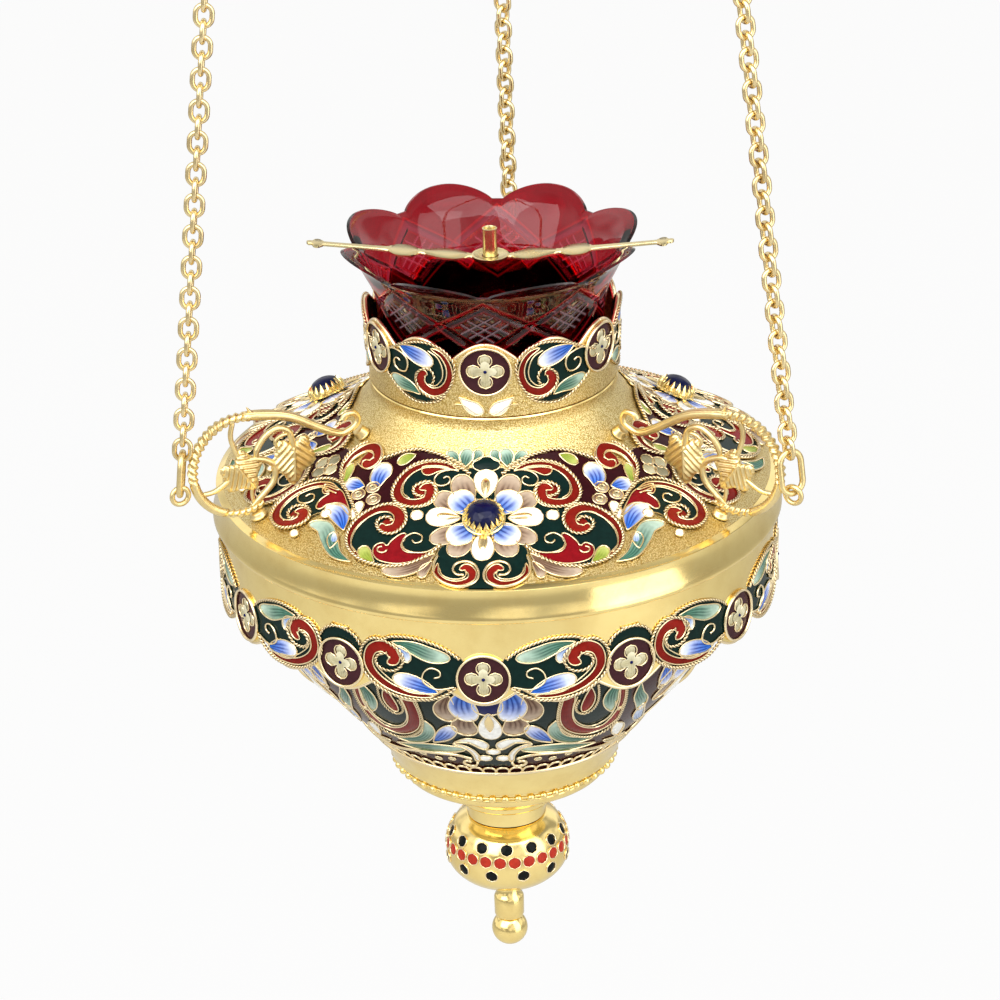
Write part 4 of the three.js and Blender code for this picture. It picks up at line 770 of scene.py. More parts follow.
def edge_wire(art, last, edge, inset, steps):
    # A plain wire that follows the sawn edge
    turn = np.linspace(0, last, steps)
    line = np.stack([turn, edge(turn) + inset], -1)
    path = art.surface(line[:, 0], line[:, 1], -0.5)
    art.put(*swept(path, art.facing(line), 0.62, 8), 1, (0, 0, 0, 1))


collar.sheet((0, 60), neck_foot, collar_top, (190, 70), thickness=1.0, bare=2)
edge_wire(collar, 60, collar_top, -0.2, 90)
collar.reflected()
for middle in (0, 60):
    medallion(collar, (middle, 59.6), 7.9)
points, faces, kinds, tints = collar.gathered()
add_piece("collar_gallery", (np.concatenate([about_axis(points, azimuth) for azimuth in plate_turns]),
                             np.concatenate([faces + len(points) * third for third in range(3)]),
                             np.tile(kinds, 3), np.tile(tints, (3, 1))),
          [filigree_enamel, filigree_wire, stippled_gilt], sharp=0)

# Garland: a scalloped skirt of sheet under the girdle, with twelve medallions and six pairs of scroll
# plates soldered on, that hangs free over the upper part of the bowl.
def on_garland(turn, height, lift):
    return polar(girdle_radius + lift, turn, height)


garland = Ornament(on_garland, 0.0)
garland.fill(
    (4, -12, 7, -8.8, 10, -6.8, 14, -5.6, 19, -6.6, 22, -7.4, 24, -9.6, 25, -13, 25, -17, 23.4, -20.5,
     20.5, -23.5, 16, -25.2, 11, -25, 7.6, -23, 4, -19), "dark_green", 0)
garland.fill((24.6, -12, 26.5, -7.5, 29.5, -6.2, 34, -6.2, 34, -12, 28, -14), "dark_green", 0)
garland.rope((4.6, -11.5, 7, -8.8, 10, -6.8, 14, -5.5, 18, -5.8, 20, -7), 0.55)
garland.rope(
    (19.3, -11.4, 21.2, -12.4, 21.9, -14.8, 20.6, -16.8, 18, -16.9, 16.2, -14.4, 16.3, -11, 19, -8,
     22, -7.2, 24.2, -9.4, 25.3, -13, 25.2, -17, 23.6, -20.5, 20.6, -23.6, 16, -25.4, 11, -25.2, 7.6, -23.2,
     5.4, -20.8), 0.6)
garland.rope((25.2, -10.6, 26.6, -7.8, 29, -6.3, 32, -6), 0.5)
garland.cell(
    (10, -24, 15, -23.8, 19, -22.3, 22.2, -19.2, 23.5, -15.5, 22.8, -11.4, 20.6, -9.6, 18.4, -10.8,
     17.9, -13.4, 19.4, -14.9), 2.2, "red_brown", "comma", 0.35)
garland.wire((13, -22.9, 17, -21.6, 20, -18.8, 21.9, -15.8, 21.8, -13.4, 20.4, -12.2))
garland.wire(
    (5.8, -20.6, 9.4, -21.6, 12, -19.5, 11.9, -16.6, 10.4, -14.8, 8.7, -15.6, 8.6, -17.3, 9.8, -18), 0.3)
garland.cells(
    "petal", ("blue_white", 2.9, 9, -22.8, 12, -21.4, 15, -20.4, 18.4, -19.2),
    ("grey_green", 2.4, 18.4, -7.6, 14, -8.8, 10.4, -10.6, 6.4, -11.4),
    ("pale_blue", 1.7, 17.6, -8.6, 15.8, -11, 15, -13.8))


def garland_edge(turn):
    return -26.5 + 5 * (1 - np.abs(np.cos(np.radians(turn * 12))))


garland.sheet((0, 30), garland_edge, gap, (150, 70), thickness=1.0, bare=2)
edge_wire(garland, 30, garland_edge, 0.2, 70)
garland.reflected()
for middle in (0, 30):
    medallion(garland, (middle, -17.8), 8.05)
for sector in range(6):
    add_piece(f"garland_{sector + 1}", garland.gathered(), [filigree_enamel, filigree_wire, polished_gilt],
              replaced=["garland_band"][sector:], sharp=0, turn=270 + 60 * sector)

# Bowl: a spun and gilded shell with a recess round its lower part, filled with filigree enamel: half
# flowers under the front medallions, big hooked scrolls, leaves with curled ends and a row of little arches.
bowl_knots = [np.array(knot) for knot in ((83.7, -3.0), (82.2, -25.0), (64.8, -44.6), (40.4, -72.3))]


def bowl_point(share):
    share = np.asarray(share, float)[..., None]
    a, b, c, d = bowl_knots
    point = ((1 - share) ** 3 * a + 3 * (1 - share) ** 2 * share * b + 3 * (1 - share) * share ** 2 * c
             + share ** 3 * d)
    slope = (1 - share) ** 2 * (b - a) + 2 * (1 - share) * share * (c - b) + share ** 2 * (d - c)
    slope /= np.linalg.norm(slope, axis=-1, keepdims=True)
    return point, np.stack([-slope[..., 1], slope[..., 0]], -1)


shares = np.linspace(1, 0, 801)
arc = np.concatenate([[0], np.cumsum(np.linalg.norm(np.diff(bowl_point(shares)[0], axis=0), axis=1))])


def on_bowl(turn, reach, lift):
    # reach is the length of wall above the base, in millimetres
    turn, reach, lift = np.broadcast_arrays(turn, reach, lift)
    point, normal = bowl_point(np.interp(reach, arc, shares))
    spot = point + normal * lift[..., None]
    return polar(spot[..., 0], turn, spot[..., 1])


bowl = Ornament(on_bowl, 0.0)
bowl.fill(
    (36, 62, 38.6, 40, 40, 26, 36, 19.6, 24, 15, 12, 13.6, 8.4, 8, 8, 5, 30, 4.8, 66, 4.8, 66, 62),
    "maroon", 0)
bowl.fill((-4, 4.8, 30, 4.8, 64, 4.8, 64, 0.8, 30, 0.8, -4, 0.8), "maroon", 0)
bowl.rope(
    (17.2, 60, 17.2, 52, 17.4, 44, 18.3, 37, 20.6, 31, 24.4, 26, 29, 22.4, 33.6, 20.8, 37.4, 22, 38.9, 27,
     38, 34, 36.4, 42, 34.4, 50, 32.4, 58), 0.6, 1.3)
bowl.cells(
    "band",
    ("red_brown", 1.9, 19.3, 58, 19.3, 51, 19.5, 44, 20.6, 37.6, 23, 32, 27, 27.6, 31.8, 25.2, 35.8, 26.6,
     37, 31.6, 36, 38), ("red_brown", 0.9, 36.3, 36, 35.3, 42, 33.4, 50, 31.6, 57),
    ("grey_green", 1.9, 34, 18.8, 27.6, 20.4, 21.6, 24.4, 18, 31, 17.9, 38.6),
    ("white", 0.9, 12.4, 23.2, 8, 20, 6.1, 14.6, 6.3, 9.6))
bowl.wire((21.2, 52, 21.2, 45, 22.4, 38.6, 25, 33.4, 28.4, 30, 31.6, 29.4, 34.2, 32.4, 34.4, 38, 33.2, 43))
bowl.rope((22, 50, 21.7, 46, 22.7, 42.4, 25, 40.2, 26.9, 42, 27.3, 46.6, 26.6, 52, 25.6, 57), 0.5, 1.2)
bowl.cells(
    "petal", ("red_brown", 2.0, 24, 56, 24.6, 49, 24.8, 41.4),
    ("blue_white", 2.7, 18.8, 22.4, 15, 27, 12.4, 31.6, 10, 37),
    ("grey_green", 2.9, 38, 13, 29, 14.8, 21, 17.2, 14, 18.6, 9, 19.6))
bowl.cell((31.4, 57, 30.6, 49, 32, 42.4, 34.2, 36.4), 2.5, "grey_green", "leaf")
bowl.wire((6.3, 9.6, 7.6, 6.9, 10.6, 7, 11.7, 9.2, 10, 10.8, 8.6, 10.1), 0.45)
bowl.wire((8, 12.6, 13, 14.8, 21, 14, 30, 12, 39, 9, 48, 7, 60, 5.6), 0.45)
bowl.cell((2.4, 19.8, 3.8, 24.4, 7, 26.4, 12, 24.2), 2.3, "white", "bud", 0.7)
for x in (16, 22, 28):
    bowl.pearl((x, 8.6 + 0.04 * (22 - x) ** 2), 1.1, "cream", 0.5)
# Half flowers under the medallion and, mirrored, between two scrolls; leaves on the maroon ground
bowl.cells(
    "petal", ("taupe", 3.6, 8.6, 56, 10.4, 48, 10.4, 40), ("taupe", 3.9, 4.8, 45, 6.8, 38.4, 6.4, 30.6),
    ("taupe", 3.6, 51.4, 56, 49.6, 48, 49.6, 40), ("taupe", 3.9, 55.2, 45, 53.2, 38.4, 53.6, 30.6),
    dome=0.2)
bowl.cells(
    "petal", ("blue_white", 4.3, 4.8, 60, 6, 50, 4.8, 41), ("blue_white", 4.3, 55.2, 60, 54, 50, 55.2, 41),
    base=0.3, dome=0.5)
bowl.cells(
    "petal", ("grey_green", 2.2, 38.2, 51, 40.4, 43, 44.4, 36, 48, 28.4),
    ("blue_white", 2.9, 44, 56, 47, 49, 51, 41), ("pale_blue", 2.2, 62, 14, 55, 18.6, 49, 26, 46.4, 33))
bowl.cell((40.2, 25, 43.6, 20, 48.2, 13.6, 52.6, 8), 2.3, "white", "bud")
bowl.cell((42, 12, 49, 9, 58, 7.6), 1.5, "cream", "leaf")
arches = 11
for arch in range(arches):
    middle = 60 * (arch + 0.5) / arches
    half_arch = [(2.6, 1.0), (2.3, 3.4), (1.1, 4.7)]
    bowl.wire([(middle - x, y) for x, y in half_arch] + [(middle + x, y) for x, y in half_arch[::-1]], 0.32)
bowl.sheet((0, 60), 0.0, 66.0, (220, 150), (0.003, 0.014, 0.012, 1), 0.8)
for level, half in ((0.6, 0.55), (66.2, 0.5)):
    bowl.wire([(turn, level) for turn in (0, 20, 40, 60)], half)
bowl.reflected()
for x, y in ((0, 18.2), (-3.2, 12.8), (3.2, 12.8)):
    bowl.pearl((x, y), 2.1, "white", 0.9)
for middle in (0, 60):
    bowl.cell([(middle, 60), (middle, 52), (middle, 45)], 4.6, "dark_blue", "petal", 0.4, base=0.2)
    bowl.cell([(middle, 46.4), (middle, 38), (middle, 28.4)], 3.5, "white", "petal", 0.6, base=0.5)
    bowl.cell([(middle, 46), (middle, 41), (middle, 35)], 1.4, "gold", "leaf", 0.7, wire=0.16, base=1.1)
for sector in range(3):
    add_piece(f"bowl_enamel_{sector + 1}", bowl.gathered(), [filigree_enamel, filigree_wire],
              replaced=["bowl_enamel"][sector:], sharp=0, turn=270 + 120 * sector)


def bowl_run(first, last, steps, depth):
    point, normal = bowl_point(np.linspace(first, last, steps))
    return [tuple(spot) for spot in point - normal * depth]


recess, wall, bowl_foot, rod_hole = 1.1, 2.1, -72.8, 2.3
bowl_profile = [(83.7, gap)] + bowl_run(0, 0.195, 8, 0) + bowl_run(0.195, 1, 30, recess)
bowl_profile += [(bowl_profile[-1][0], bowl_foot), (rod_hole, bowl_foot), (rod_hole, bowl_foot + 1.2),
                 (bowl_run(0.98, 0.98, 1, wall)[0][0] - 0.3, bowl_foot + 1.2)]
bowl_profile += bowl_run(0.96, 0, 34, wall) + [(81.6, gap)]
add_piece("bowl_shell", turned(bowl_profile, 200))

# Base moulding: a polished cup spun from sheet under the bowl, with a plain band, a row of small beads
# soldered in its step, and a cyma that runs down to the lip.
base_top, base_bottom, bead_seat = -73.1, -101.5, 32.4
curve = [(39.9, 0), (40.1, -0.7), (39.6, -1.3), (37.9, -4.5), (36.3, -8), (35.9, -9.6), (34.9, -10.3),
         (32.8, -10.6), (bead_seat, -11.2), (bead_seat, -12.9), (33.0, -13.5), (33.0, -14.3),
         (31.8, -16.3), (27.25, -18.5), (21.0, -21.3), (16.8, -24.4), (15.3, -26.4), (15.2, -27.3),
         (14.9, base_bottom - base_top + 0.3), (14.2, base_bottom - base_top)]
outline = smooth_line(np.add(curve, (0, base_top)), 0.6)
inside = np.add([(13.2, -24.6), (19.6, -21.0), (26.0, -18.2), (30.6, -16), (31.0, -11), (33.6, -9.5),
                 (36.2, -4.5), (38.4, 0)], (0, base_top))
under = [(rod_hole, base_bottom), (rod_hole, base_bottom + 1.6)]
add_piece("base_moulding", turned(np.concatenate([outline, under, inside])))


def together(parts):
    # Several closed shapes as one, with the faces of each turned outward
    starts = np.cumsum([0] + [len(points) for points, faces in parts])
    return (np.concatenate([points for points, faces in parts]),
            np.concatenate([outward(*part) + start for part, start in zip(parts, starts)]))


bead_count, bead_radius, bead_reach, bead_level = 54, 1.3, 34.4, base_top - 11.9
lat = np.linspace(-math.pi / 2, math.pi / 2, 9)
lon = np.arange(14) / 14 * 2 * math.pi
ball = np.stack([np.cos(lat)[:, None] * np.cos(lon), np.cos(lat)[:, None] * np.sin(lon),
                 np.sin(lat)[:, None] * np.ones(14)], -1).reshape(-1, 3) * bead_radius
ball_faces = grid_faces(9, 14, False, True)
beads = [(ball + polar(bead_reach, 360 * number / bead_count, bead_level), ball_faces)
         for number in range(bead_count)]
thread = polar(bead_reach - 0.3, np.arange(200) * 1.8, bead_level)
add_piece("bead_row", together(beads + [swept(thread, (0, 0, 1), 0.5, 8, closed=True)]),
          replaced=["bead_ring"])

# Pendant: a short polished neck, the knop with its three rows of enamel dots in thin gold rims, a small
# spacer and a ball, all turned and threaded on one rod.
add_piece("polished_neck", turned([(rod_hole, -101.8), (12.2, -101.8), (12.5, -102.0), (12.5, -106.9),
                                   (12.2, -107.1), (rod_hole, -107.1)], 120))
knop_top, knop_foot = -107.4, -133.4
knop_curve = smooth_line([(12.5, knop_top), (16.5, -110.3), (18.8, -114.7), (19.4, -119.9), (18.4, -124.3),
                          (14.9, -128.2), (9.5, -131.3), (4.6, knop_foot)], 0.7)
knop_outline = [(rod_hole, knop_top), (12.0, knop_top), *knop_curve, (4.2, knop_foot), (rod_hole, knop_foot)]


def on_knop(turn, height, lift):
    radius = np.interp(-np.asarray(height), -knop_curve[:, 1], knop_curve[:, 0]) + lift
    return polar(radius, turn, height + 0.25 * np.sign(np.asarray(height) + 119) * lift)


knop = Ornament(on_knop, -0.1)
styles["dot_red"] = ((0.42, 0.035, 0.02), (0.42, 0.035, 0.02), (0.3, 0.02, 0.02), 0)
styles["dot_black"] = ((0.006, 0.008, 0.008), (0.006, 0.008, 0.008), (0, 0, 0), 0)
for dots, first, level, radius, style in (
        (26, -3.8, -116.2, 2.0, "dot_red"), (14, 2.7, -112.3, 1.95, "dot_black"),
        (12, -12, -120.8, 2.0, "dot_black")):
    for number in range(dots):
        knop.pearl((270 + first + 360 / dots * number, level), radius, style, 0.3, 0.2)
knop.put(*turned(knop_outline), 2, (0, 0, 0, 0))
add_piece("knop", knop.gathered(), [filigree_enamel, filigree_wire, polished_gilt], sharp=0)
add_piece("spacer", turned([(rod_hole, -133.7), (3.8, -133.7), (3.7, -136.6), (4.4, -137.4), (4.75, -138.3),
                            (4.7, -144.2), (4.4, -145.0), (rod_hole, -145.0)], 96))
ball_size, ball_middle, ball_top = 5.7, -149.7, -145.3
ball_outline = [(0, -149.9), (rod_hole, -149.9), (rod_hole, ball_top)]
ball_outline += [(ball_size * math.cos(t), ball_middle + ball_size * math.sin(t))
                 for t in np.linspace(math.asin(4.4 / ball_size), -1.5707, 24)]
add_piece("ball_finial", turned(ball_outline, 96))

# Rod, washer and nut inside the body: a plain steel rod, cut with a thread, that clamps the turned
# pendant to the bowl. The steel shows a fine turned grain and is neither gilded nor polished.
plain_steel, tree, shader = new_finish("plain_steel", {"Metallic": 1})
surface = gilding(tree, (0.56, 0.55, 0.53, 1), (0.30, 0.27, 0.24, 1), 0.5, 0.32)
turning = add_node(tree, "TexWave", {"Vector": add_node(tree, "TexCoord")["Object"], "Scale": 900},
                   bands_direction="Z")
connect(tree, shader, {"Base Color": surface["Color"], "Roughness": surface["Roughness"],
                       "Normal": bumped(tree, turning["Fac"], 0.15)})


def refinish(name, finish):
    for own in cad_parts[name].material_slots:
        own.material = finish


for name in ("tie_rod", "rod_washer", "rod_nut"):
    refinish(name, plain_steel)

# Glass cup: thick ruby glass, blown in a mould with eight round lobes at its rim. Outside, a lattice of
# wide grooves is cut round it, with a cross-hatched diamond under each notch of the rim.
cup_foot, cup_wall, cup_floor, rim_low = 13.0, 3.0, 17.5, 83.6
cup_line = smooth_line([(26.5, cup_foot), (30.4, 29.23), (32, 43.23), (33.5, 60.23), (35.2, 71.23),
                        (38.4, 78.6), (41.3, rim_low), (46, 87.8), (50, 91)], 0.5)
diamond_level, diamond_half, diamond_rise = 71.5, 15.6, 10.2


def cup_radius(height):
    return np.interp(height, cup_line[:, 1], cup_line[:, 0])


columns = 720
turn = np.arange(columns) / columns * 360
swell = np.abs(np.sin(np.radians(turn) * 4))
rim_height = rim_low + 4.2 * np.maximum(0, (swell - 0.17) / 0.83) ** 0.8
low_rows = np.concatenate([[cup_foot, 13.2, 16, 20, 26, 32, 38, 43], np.linspace(46, 58, 8)])
share = np.linspace(0, 1, 74)[1:]
outside_height = np.concatenate([np.repeat(low_rows[:, None], columns, 1),
                                 58 + (rim_height[None] - 58) * share[:, None]])
outside_radius = cup_radius(outside_height)
to_notch = (turn + 22.5) % 45 - 22.5
# Along the edges of the cut diamonds a bright red line is painted as a glint: painted highlight
depth, edge_glint, hatch_cut_and_glow = (np.zeros_like(outside_height) for _ in range(3))
up = outside_height - diamond_level
for beside in (-45, 0, 45):
    reach = np.radians(to_notch - beside)[None] * outside_radius
    far = np.abs(reach) / diamond_half + np.abs(up) / diamond_rise
    depth = np.maximum(depth, 0.75 * np.clip(1 - np.abs(far - 0.84) / 0.17, 0, 1))
    edge_glint = np.maximum(edge_glint, np.clip(1 - np.abs(far - 1.01) / 0.035, 0, 1))
    edge_glint = np.maximum(edge_glint, 0.5 * np.clip(1 - np.abs(far - 0.67) / 0.03, 0, 1))
    # The cross-hatching is a real frosted cut that is also painted to glow: painted highlight
    if beside == 0:
        for slant in (-1, 1):
            along = (reach / diamond_half + slant * up / diamond_rise) * 3.6
            line = np.clip(1 - np.abs(along - np.round(along)) / 0.13, 0, 1)
            hatch_cut_and_glow = np.maximum(hatch_cut_and_glow, line * (np.abs(np.round(along)) < 2) * (far < 0.62))
depth += 0.25 * hatch_cut_and_glow
outside_radius = outside_radius - depth


def level_row(value):
    return np.full((1, columns), value)


rim = rim_height[None]
inside_height = np.concatenate([
    rim - 0.25, rim - 1.0, cup_floor + 4 + (rim - 1.6 - cup_floor - 4) * np.linspace(1, 0, 30)[:, None],
    level_row(cup_floor + 1.2), level_row(cup_floor)])
inside_radius = cup_radius(inside_height + 0.6) - cup_wall
inside_radius[0] += 0.9
inside_radius[-1] -= 3.5
inside_radius[-2] -= 0.8
heights = np.concatenate([level_row(cup_foot), outside_height, rim + 0.25, inside_height,
                          level_row(cup_floor)])
radii = np.concatenate([level_row(0.01), outside_radius, cup_radius(rim) - 1.0, inside_radius,
                        level_row(0.01)])
cuts_and_glints = np.zeros(heights.shape + (4,))
cuts_and_glints[1:1 + len(edge_glint), :, :3] = np.stack([edge_glint, hatch_cut_and_glow, np.clip(depth / 0.5, 0, 1)], -1)
cuts_and_glints[..., 3] = 1
points = polar(radii, turn, heights).reshape(-1, 3)
faces = outward(points, grid_faces(len(heights), columns, False, True))

ruby_glass, tree, shader = new_finish("ruby_glass", {
    "Transmission Weight": 1.0, "IOR": 1.45, "Specular IOR Level": 0.25, "Emission Strength": 0.5})
mark = add_node(tree, "VertexColor", layer_name="tint")["Color"]
edge_glints, hatching_and_glow, grooves = add_node(tree, "SeparateColor", {0: mark})
ruby = ramp(tree, noise(tree, 45), (0.42, 0.004, 0.014, 1), (0.52, 0.008, 0.020, 1))
# The edge glints are painted bright red and glow through the emission: painted highlights
bright = blended(tree, edge_glints, blended(tree, grooves, ruby, (0.60, 0.22, 0.30, 1)), (0.95, 0.03, 0.03, 1))
edge_light = blended(tree, edge_glints, (0, 0, 0, 1), (0.55, 0.008, 0.016, 1))
# The hatching has its own pale frosted colour and roughness, and it also glows pale through the emission:
# painted highlight
connect(tree, shader, {"Base Color": blended(tree, hatching_and_glow, bright, (0.90, 0.62, 0.68, 1)),
                       "Roughness": mapped(tree, hatching_and_glow, 0, 1, 0.02, 0.6),
                       "Emission Color": blended(tree, hatching_and_glow, edge_light, (0.40, 0.28, 0.32, 1))})
add_piece("glass_cup", (points, faces, None, cuts_and_glints.reshape(-1, 4)), [ruby_glass], body="glass",
          sharp=35)
refinish("glass_seat", polished_gilt)

# Float: a strip of pale brass sheet, sawn into leaves and a trefoil at each end, that lies in two opposite
# notches of the glass, with a dish and the wick's tube riveted through its middle.
pale_brass = gilt_finish("pale_brass", (0.78, 0.66, 0.36, 1), (0.40, 0.30, 0.14, 1), 0.4, 0.24, 0.05)
strip_rise, notch_reach, half_sheet = 0.093, 41.3, 0.4
strip_edge = [(5.0, 1.5), (6.2, 1.3), (8.2, 2.7), (11, 3.9), (14.5, 3.8), (18, 2.4), (20.8, 1.4), (22, 2.4),
              (23.6, 4.0), (26, 4.5), (28.4, 4.0), (30, 2.3), (31.5, 1.4), (40, 1.15), (49.2, 1.1), (50, 1.5),
              (51.4, 2.9), (52.6, 2.7), (53.4, 1.1), (54.2, 1.2), (55, 0.35)]
edge = smooth_line(strip_edge, 0.35)
strip_middle = rim_low + gap + half_sheet + strip_rise * (edge[:, 0] - notch_reach)
section = [(-1, -0.4), (-1, 0.15), (-0.86, 0.4), (0, 0.46), (0.86, 0.4), (1, 0.15), (1, -0.4), (0, -0.4)]
parts = []
for hand in (-1, 1):
    arm = np.stack([np.stack([hand * edge[:, 0], edge[:, 1] * u, strip_middle + v], -1)
                    for u, v in section], 1)
    caps = [arm[[end]].mean(1, keepdims=True) * np.ones((1, len(section), 1)) for end in (0, -1)]
    solid = np.concatenate([caps[0], arm, caps[1]]).reshape(-1, 3)
    parts.append((solid, grid_faces(len(edge) + 2, len(section), False, True)))
dish_level = rim_low + gap + half_sheet + strip_rise * (5.6 - notch_reach)
dish = np.array([(2.55, -0.4), (2.55, 0.2), (3.6, 0.25), (4.6, 0.55), (5.3, 0.75), (5.6, 0.6), (5.6, -0.1),
                 (5.3, -0.4)]) + (0, dish_level)
add_piece("float_strip", together(parts + [turned(dish, 72)]), [pale_brass], "float", sharp=45)
tube = np.array([(1.7, -1), (2.25, -1), (2.25, 8.9), (2.05, 9), (1.8, 9), (1.7, 8.8)]) + (0, dish_level)
add_piece("wick_tube", turned(tube, 48), [pale_brass], "float")

# Handles: three castings, each one loop with a twisted rib, an arm that ends in a curl, and a vine with
# two ribbed grape leaves. They stand on two collets that are soldered to the shoulder.
satin_gilt = gilt_finish("satin_gilt", (0.84, 0.67, 0.33, 1), (0.40, 0.28, 0.10, 1), 0.5, 0.3, 0.12)
chain_gilt = gilt_finish("chain_gilt", (0.85, 0.69, 0.38, 1), (0.40, 0.28, 0.11, 1), 0.5, 0.22, 0.1)
loop_radius, loop_distance, foot_angle = 15.3, 84.6, 250
foot_distance = loop_distance + loop_radius * math.cos(math.radians(foot_angle))
foot_height = on_shoulder(0.0, np.array(foot_distance), 3.8)[2]
loop_centre = np.array([loop_distance, foot_height - loop_radius * math.sin(math.radians(foot_angle))])
rest_distance = neck_radius + 6.5
arm_rest = on_shoulder(0.0, np.array(rest_distance), 2.6 + 0.6 + 1.4)[[0, 2]]


def in_plane(knots):
    knots = np.asarray(knots, float)
    return np.stack([knots[:, 0], 0 * knots[:, 0], knots[:, 1]], -1)


def from_loop(*knots):
    return list(loop_centre + np.reshape(knots, (-1, 2)))


def on_loop(angles, reach=loop_radius):
    return list(loop_centre + polar(reach, angles, 0)[:, :2])


def rod(line, half, sides, **form):
    # Round wire or a cast bar along a line in the handle's own plane
    return swept(in_plane(line), (0, 1, 0), half, sides, **form)


loop_first, loop_last = -117, 104
loop_line = smooth_line(on_loop(np.linspace(loop_first, loop_last, 30)), 0.32)
loop_share = np.linspace(loop_first, loop_last, len(loop_line))
ribbed = np.clip((loop_share + 14) / 8, 0, 1) + np.clip((-66 - loop_share) / 6, 0, 1)
ribbed *= np.clip((101 - loop_share) / 4, 0, 1)
half = np.interp(loop_share, [-117, -100, -60, -10, 0, 60, 104], [1.0, 1.35, 1.5, 1.5, 1.7, 1.8, 1.5])
castings = [rod(loop_line, half, 14, lobes=2, depth=0.36 * np.clip(ribbed, 0, 1), pitch=2.1)]
arm_knots = on_loop([96]) + from_loop((-9.6, 14)) + [arm_rest + knot for knot in np.array([
    (20.2, 7.4), (10.7, 1.6), (4.6, -1.3), (0, 0), (-1.3, 2.2), (0, 4.4), (2.6, 4.2), (3.6, 2.8)])]
arm_line = smooth_line(arm_knots, 0.5)
arm_share = np.linspace(0, 1, len(arm_line))
arm_half = np.interp(arm_share, [0, 0.1, 0.6, 0.8, 1], [1.1, 1.6, 1.25, 1.0, 1.0])
castings.append(rod(arm_line, arm_half, 12))
rib = arm_line[:int(len(arm_line) * 0.72)]
rib_share = np.linspace(0, 1, len(rib))
rib_half = np.interp(rib_share, [0, 0.1, 0.9, 1], [0.2, 0.5, 0.45, 0.15])
for offset in (-0.75, 0.75):
    lift = in_plane(rib) + (0, offset, 0)
    lift[:, 2] += np.interp(rib_share, [0, 1], [1.1, 0.9])
    castings.append(swept(lift, (0, 1, 0), rib_half, 8))
flame = smooth_line(from_loop((-6, 14.6), (-4.2, 16), (-3.0, 17.9)), 0.4)
castings.append(rod(flame, np.linspace(1.3, 0.15, len(flame)), 10))
for half, *knots in (
        (1.0, -3.2, -14.2, -7.6, -10.6, -10.6, -7.4, -11.2, -3.1, -8.1, -0.2, -3.2, 0.9, 0, -1.5),
        (1.0, -5.5, 0.4, -5.5, 3.4, -8.4, 7.3, -12.3, 9.1, -16, 7.4, -17.2, 2.8, -17.2, -1.2),
        (0.8, 1.5, 15, 2.6, 9, 0, 1), (0.8, 0, -2, 8, -6.5, 13.5, -7),
        (0.6, -7.4, 0.8, -4.8, -4.4, -3.4, -8.8, -3.6, -13.2),
        (0.6, -16.4, 6.6, -13.6, 6.4, -11.6, 5.0, -12.4, 3.2, -15.4, 2.6),
        (0.6, -17.2, 3.4, -17.6, -2.0, -18.6, -7.2)):
    line = smooth_line(from_loop(*knots), 0.5)
    share = np.linspace(0, 1, len(line))
    ends = np.minimum(1, 0.55 + 4 * np.minimum(share, share[::-1]))
    castings.append(rod(line, half * ends, 10))


def grape_leaf(centre, size, tip):
    # Five shallow lobes with a long tip, crowned on both faces, with a raised midrib and ribs that slant
    # away from it
    rings, spokes = 30, 150
    share = np.linspace(0, 1, rings)[:, None]
    turn = np.arange(spokes)[None] / spokes * 2 * math.pi
    away = np.minimum(turn, 2 * math.pi - turn)
    border = size * (0.83 + 0.09 * np.cos(5 * turn) + 0.015 * np.cos(30 * turn)
                     + 0.16 * np.exp(-(away / 0.3) ** 2))
    border -= size * 0.3 * np.exp(-((math.pi - away) / 0.4) ** 2)
    x, z = border * share * np.cos(turn), border * share * np.sin(turn)
    midrib = np.exp(-(z / 0.5) ** 2)
    ribs = (0.5 + 0.5 * np.cos(2 * math.pi * (x - 0.9 * np.abs(z)) / (0.27 * size))) ** 1.5
    crown = (0.45 + 0.5 * (1 - share ** 2) ** 0.7 + 0.75 * np.maximum(midrib, 0.8 * ribs)) * (1 - share ** 10)
    across, up = swung(x, z, math.radians(tip))
    sides = [np.stack([across, crown, up], -1), np.stack([across, -crown, up], -1)[::-1]]
    points = np.concatenate(sides).reshape(-1, 3) + (centre[0], 0, centre[1])
    return points, grid_faces(2 * rings, spokes, False, True)


castings += [grape_leaf(loop_centre + (-0.1, -2.2), 7.6, 234),
             grape_leaf(loop_centre + (-17.2, -1.2), 8.36, 270)]


def collet(radius, length, distance):
    top = gap + length
    points, faces = turned([(0, gap), (radius + 0.25, gap), (radius + 0.25, gap + 0.4), (radius, gap + 0.6),
                            (radius * 0.9, top - 0.3), (radius * 0.8, top), (0, top)], 48)
    return on_slope(points, distance), faces


# Eyes, long links and chains: a round eye stands outside each handle, an oval link hangs in it, and each
# chain is a run of closed links of round wire. Every other link stands square to the one below it, and
# the whole chain is held taut on its way to the crown.
eye_radius, eye_half = 2.6, 0.8
eye_centre = on_loop([-16], loop_radius + 1.4 + gap + eye_radius + eye_half)[0]


def wire_ring(radius, half, steps=48, sides=14):
    circle = polar(radius, np.arange(steps) * 360 / steps, 0)[:, :2]
    return together([rod(circle, half, sides, closed=True)])


def long_link(width, length, half):
    bend = polar(width / 2 - half, np.linspace(0, 180, 15), 0)[:, :2] + (0, length / 2 - width / 2)
    return together([rod(np.concatenate([bend, -bend]), half, 14, closed=True)])


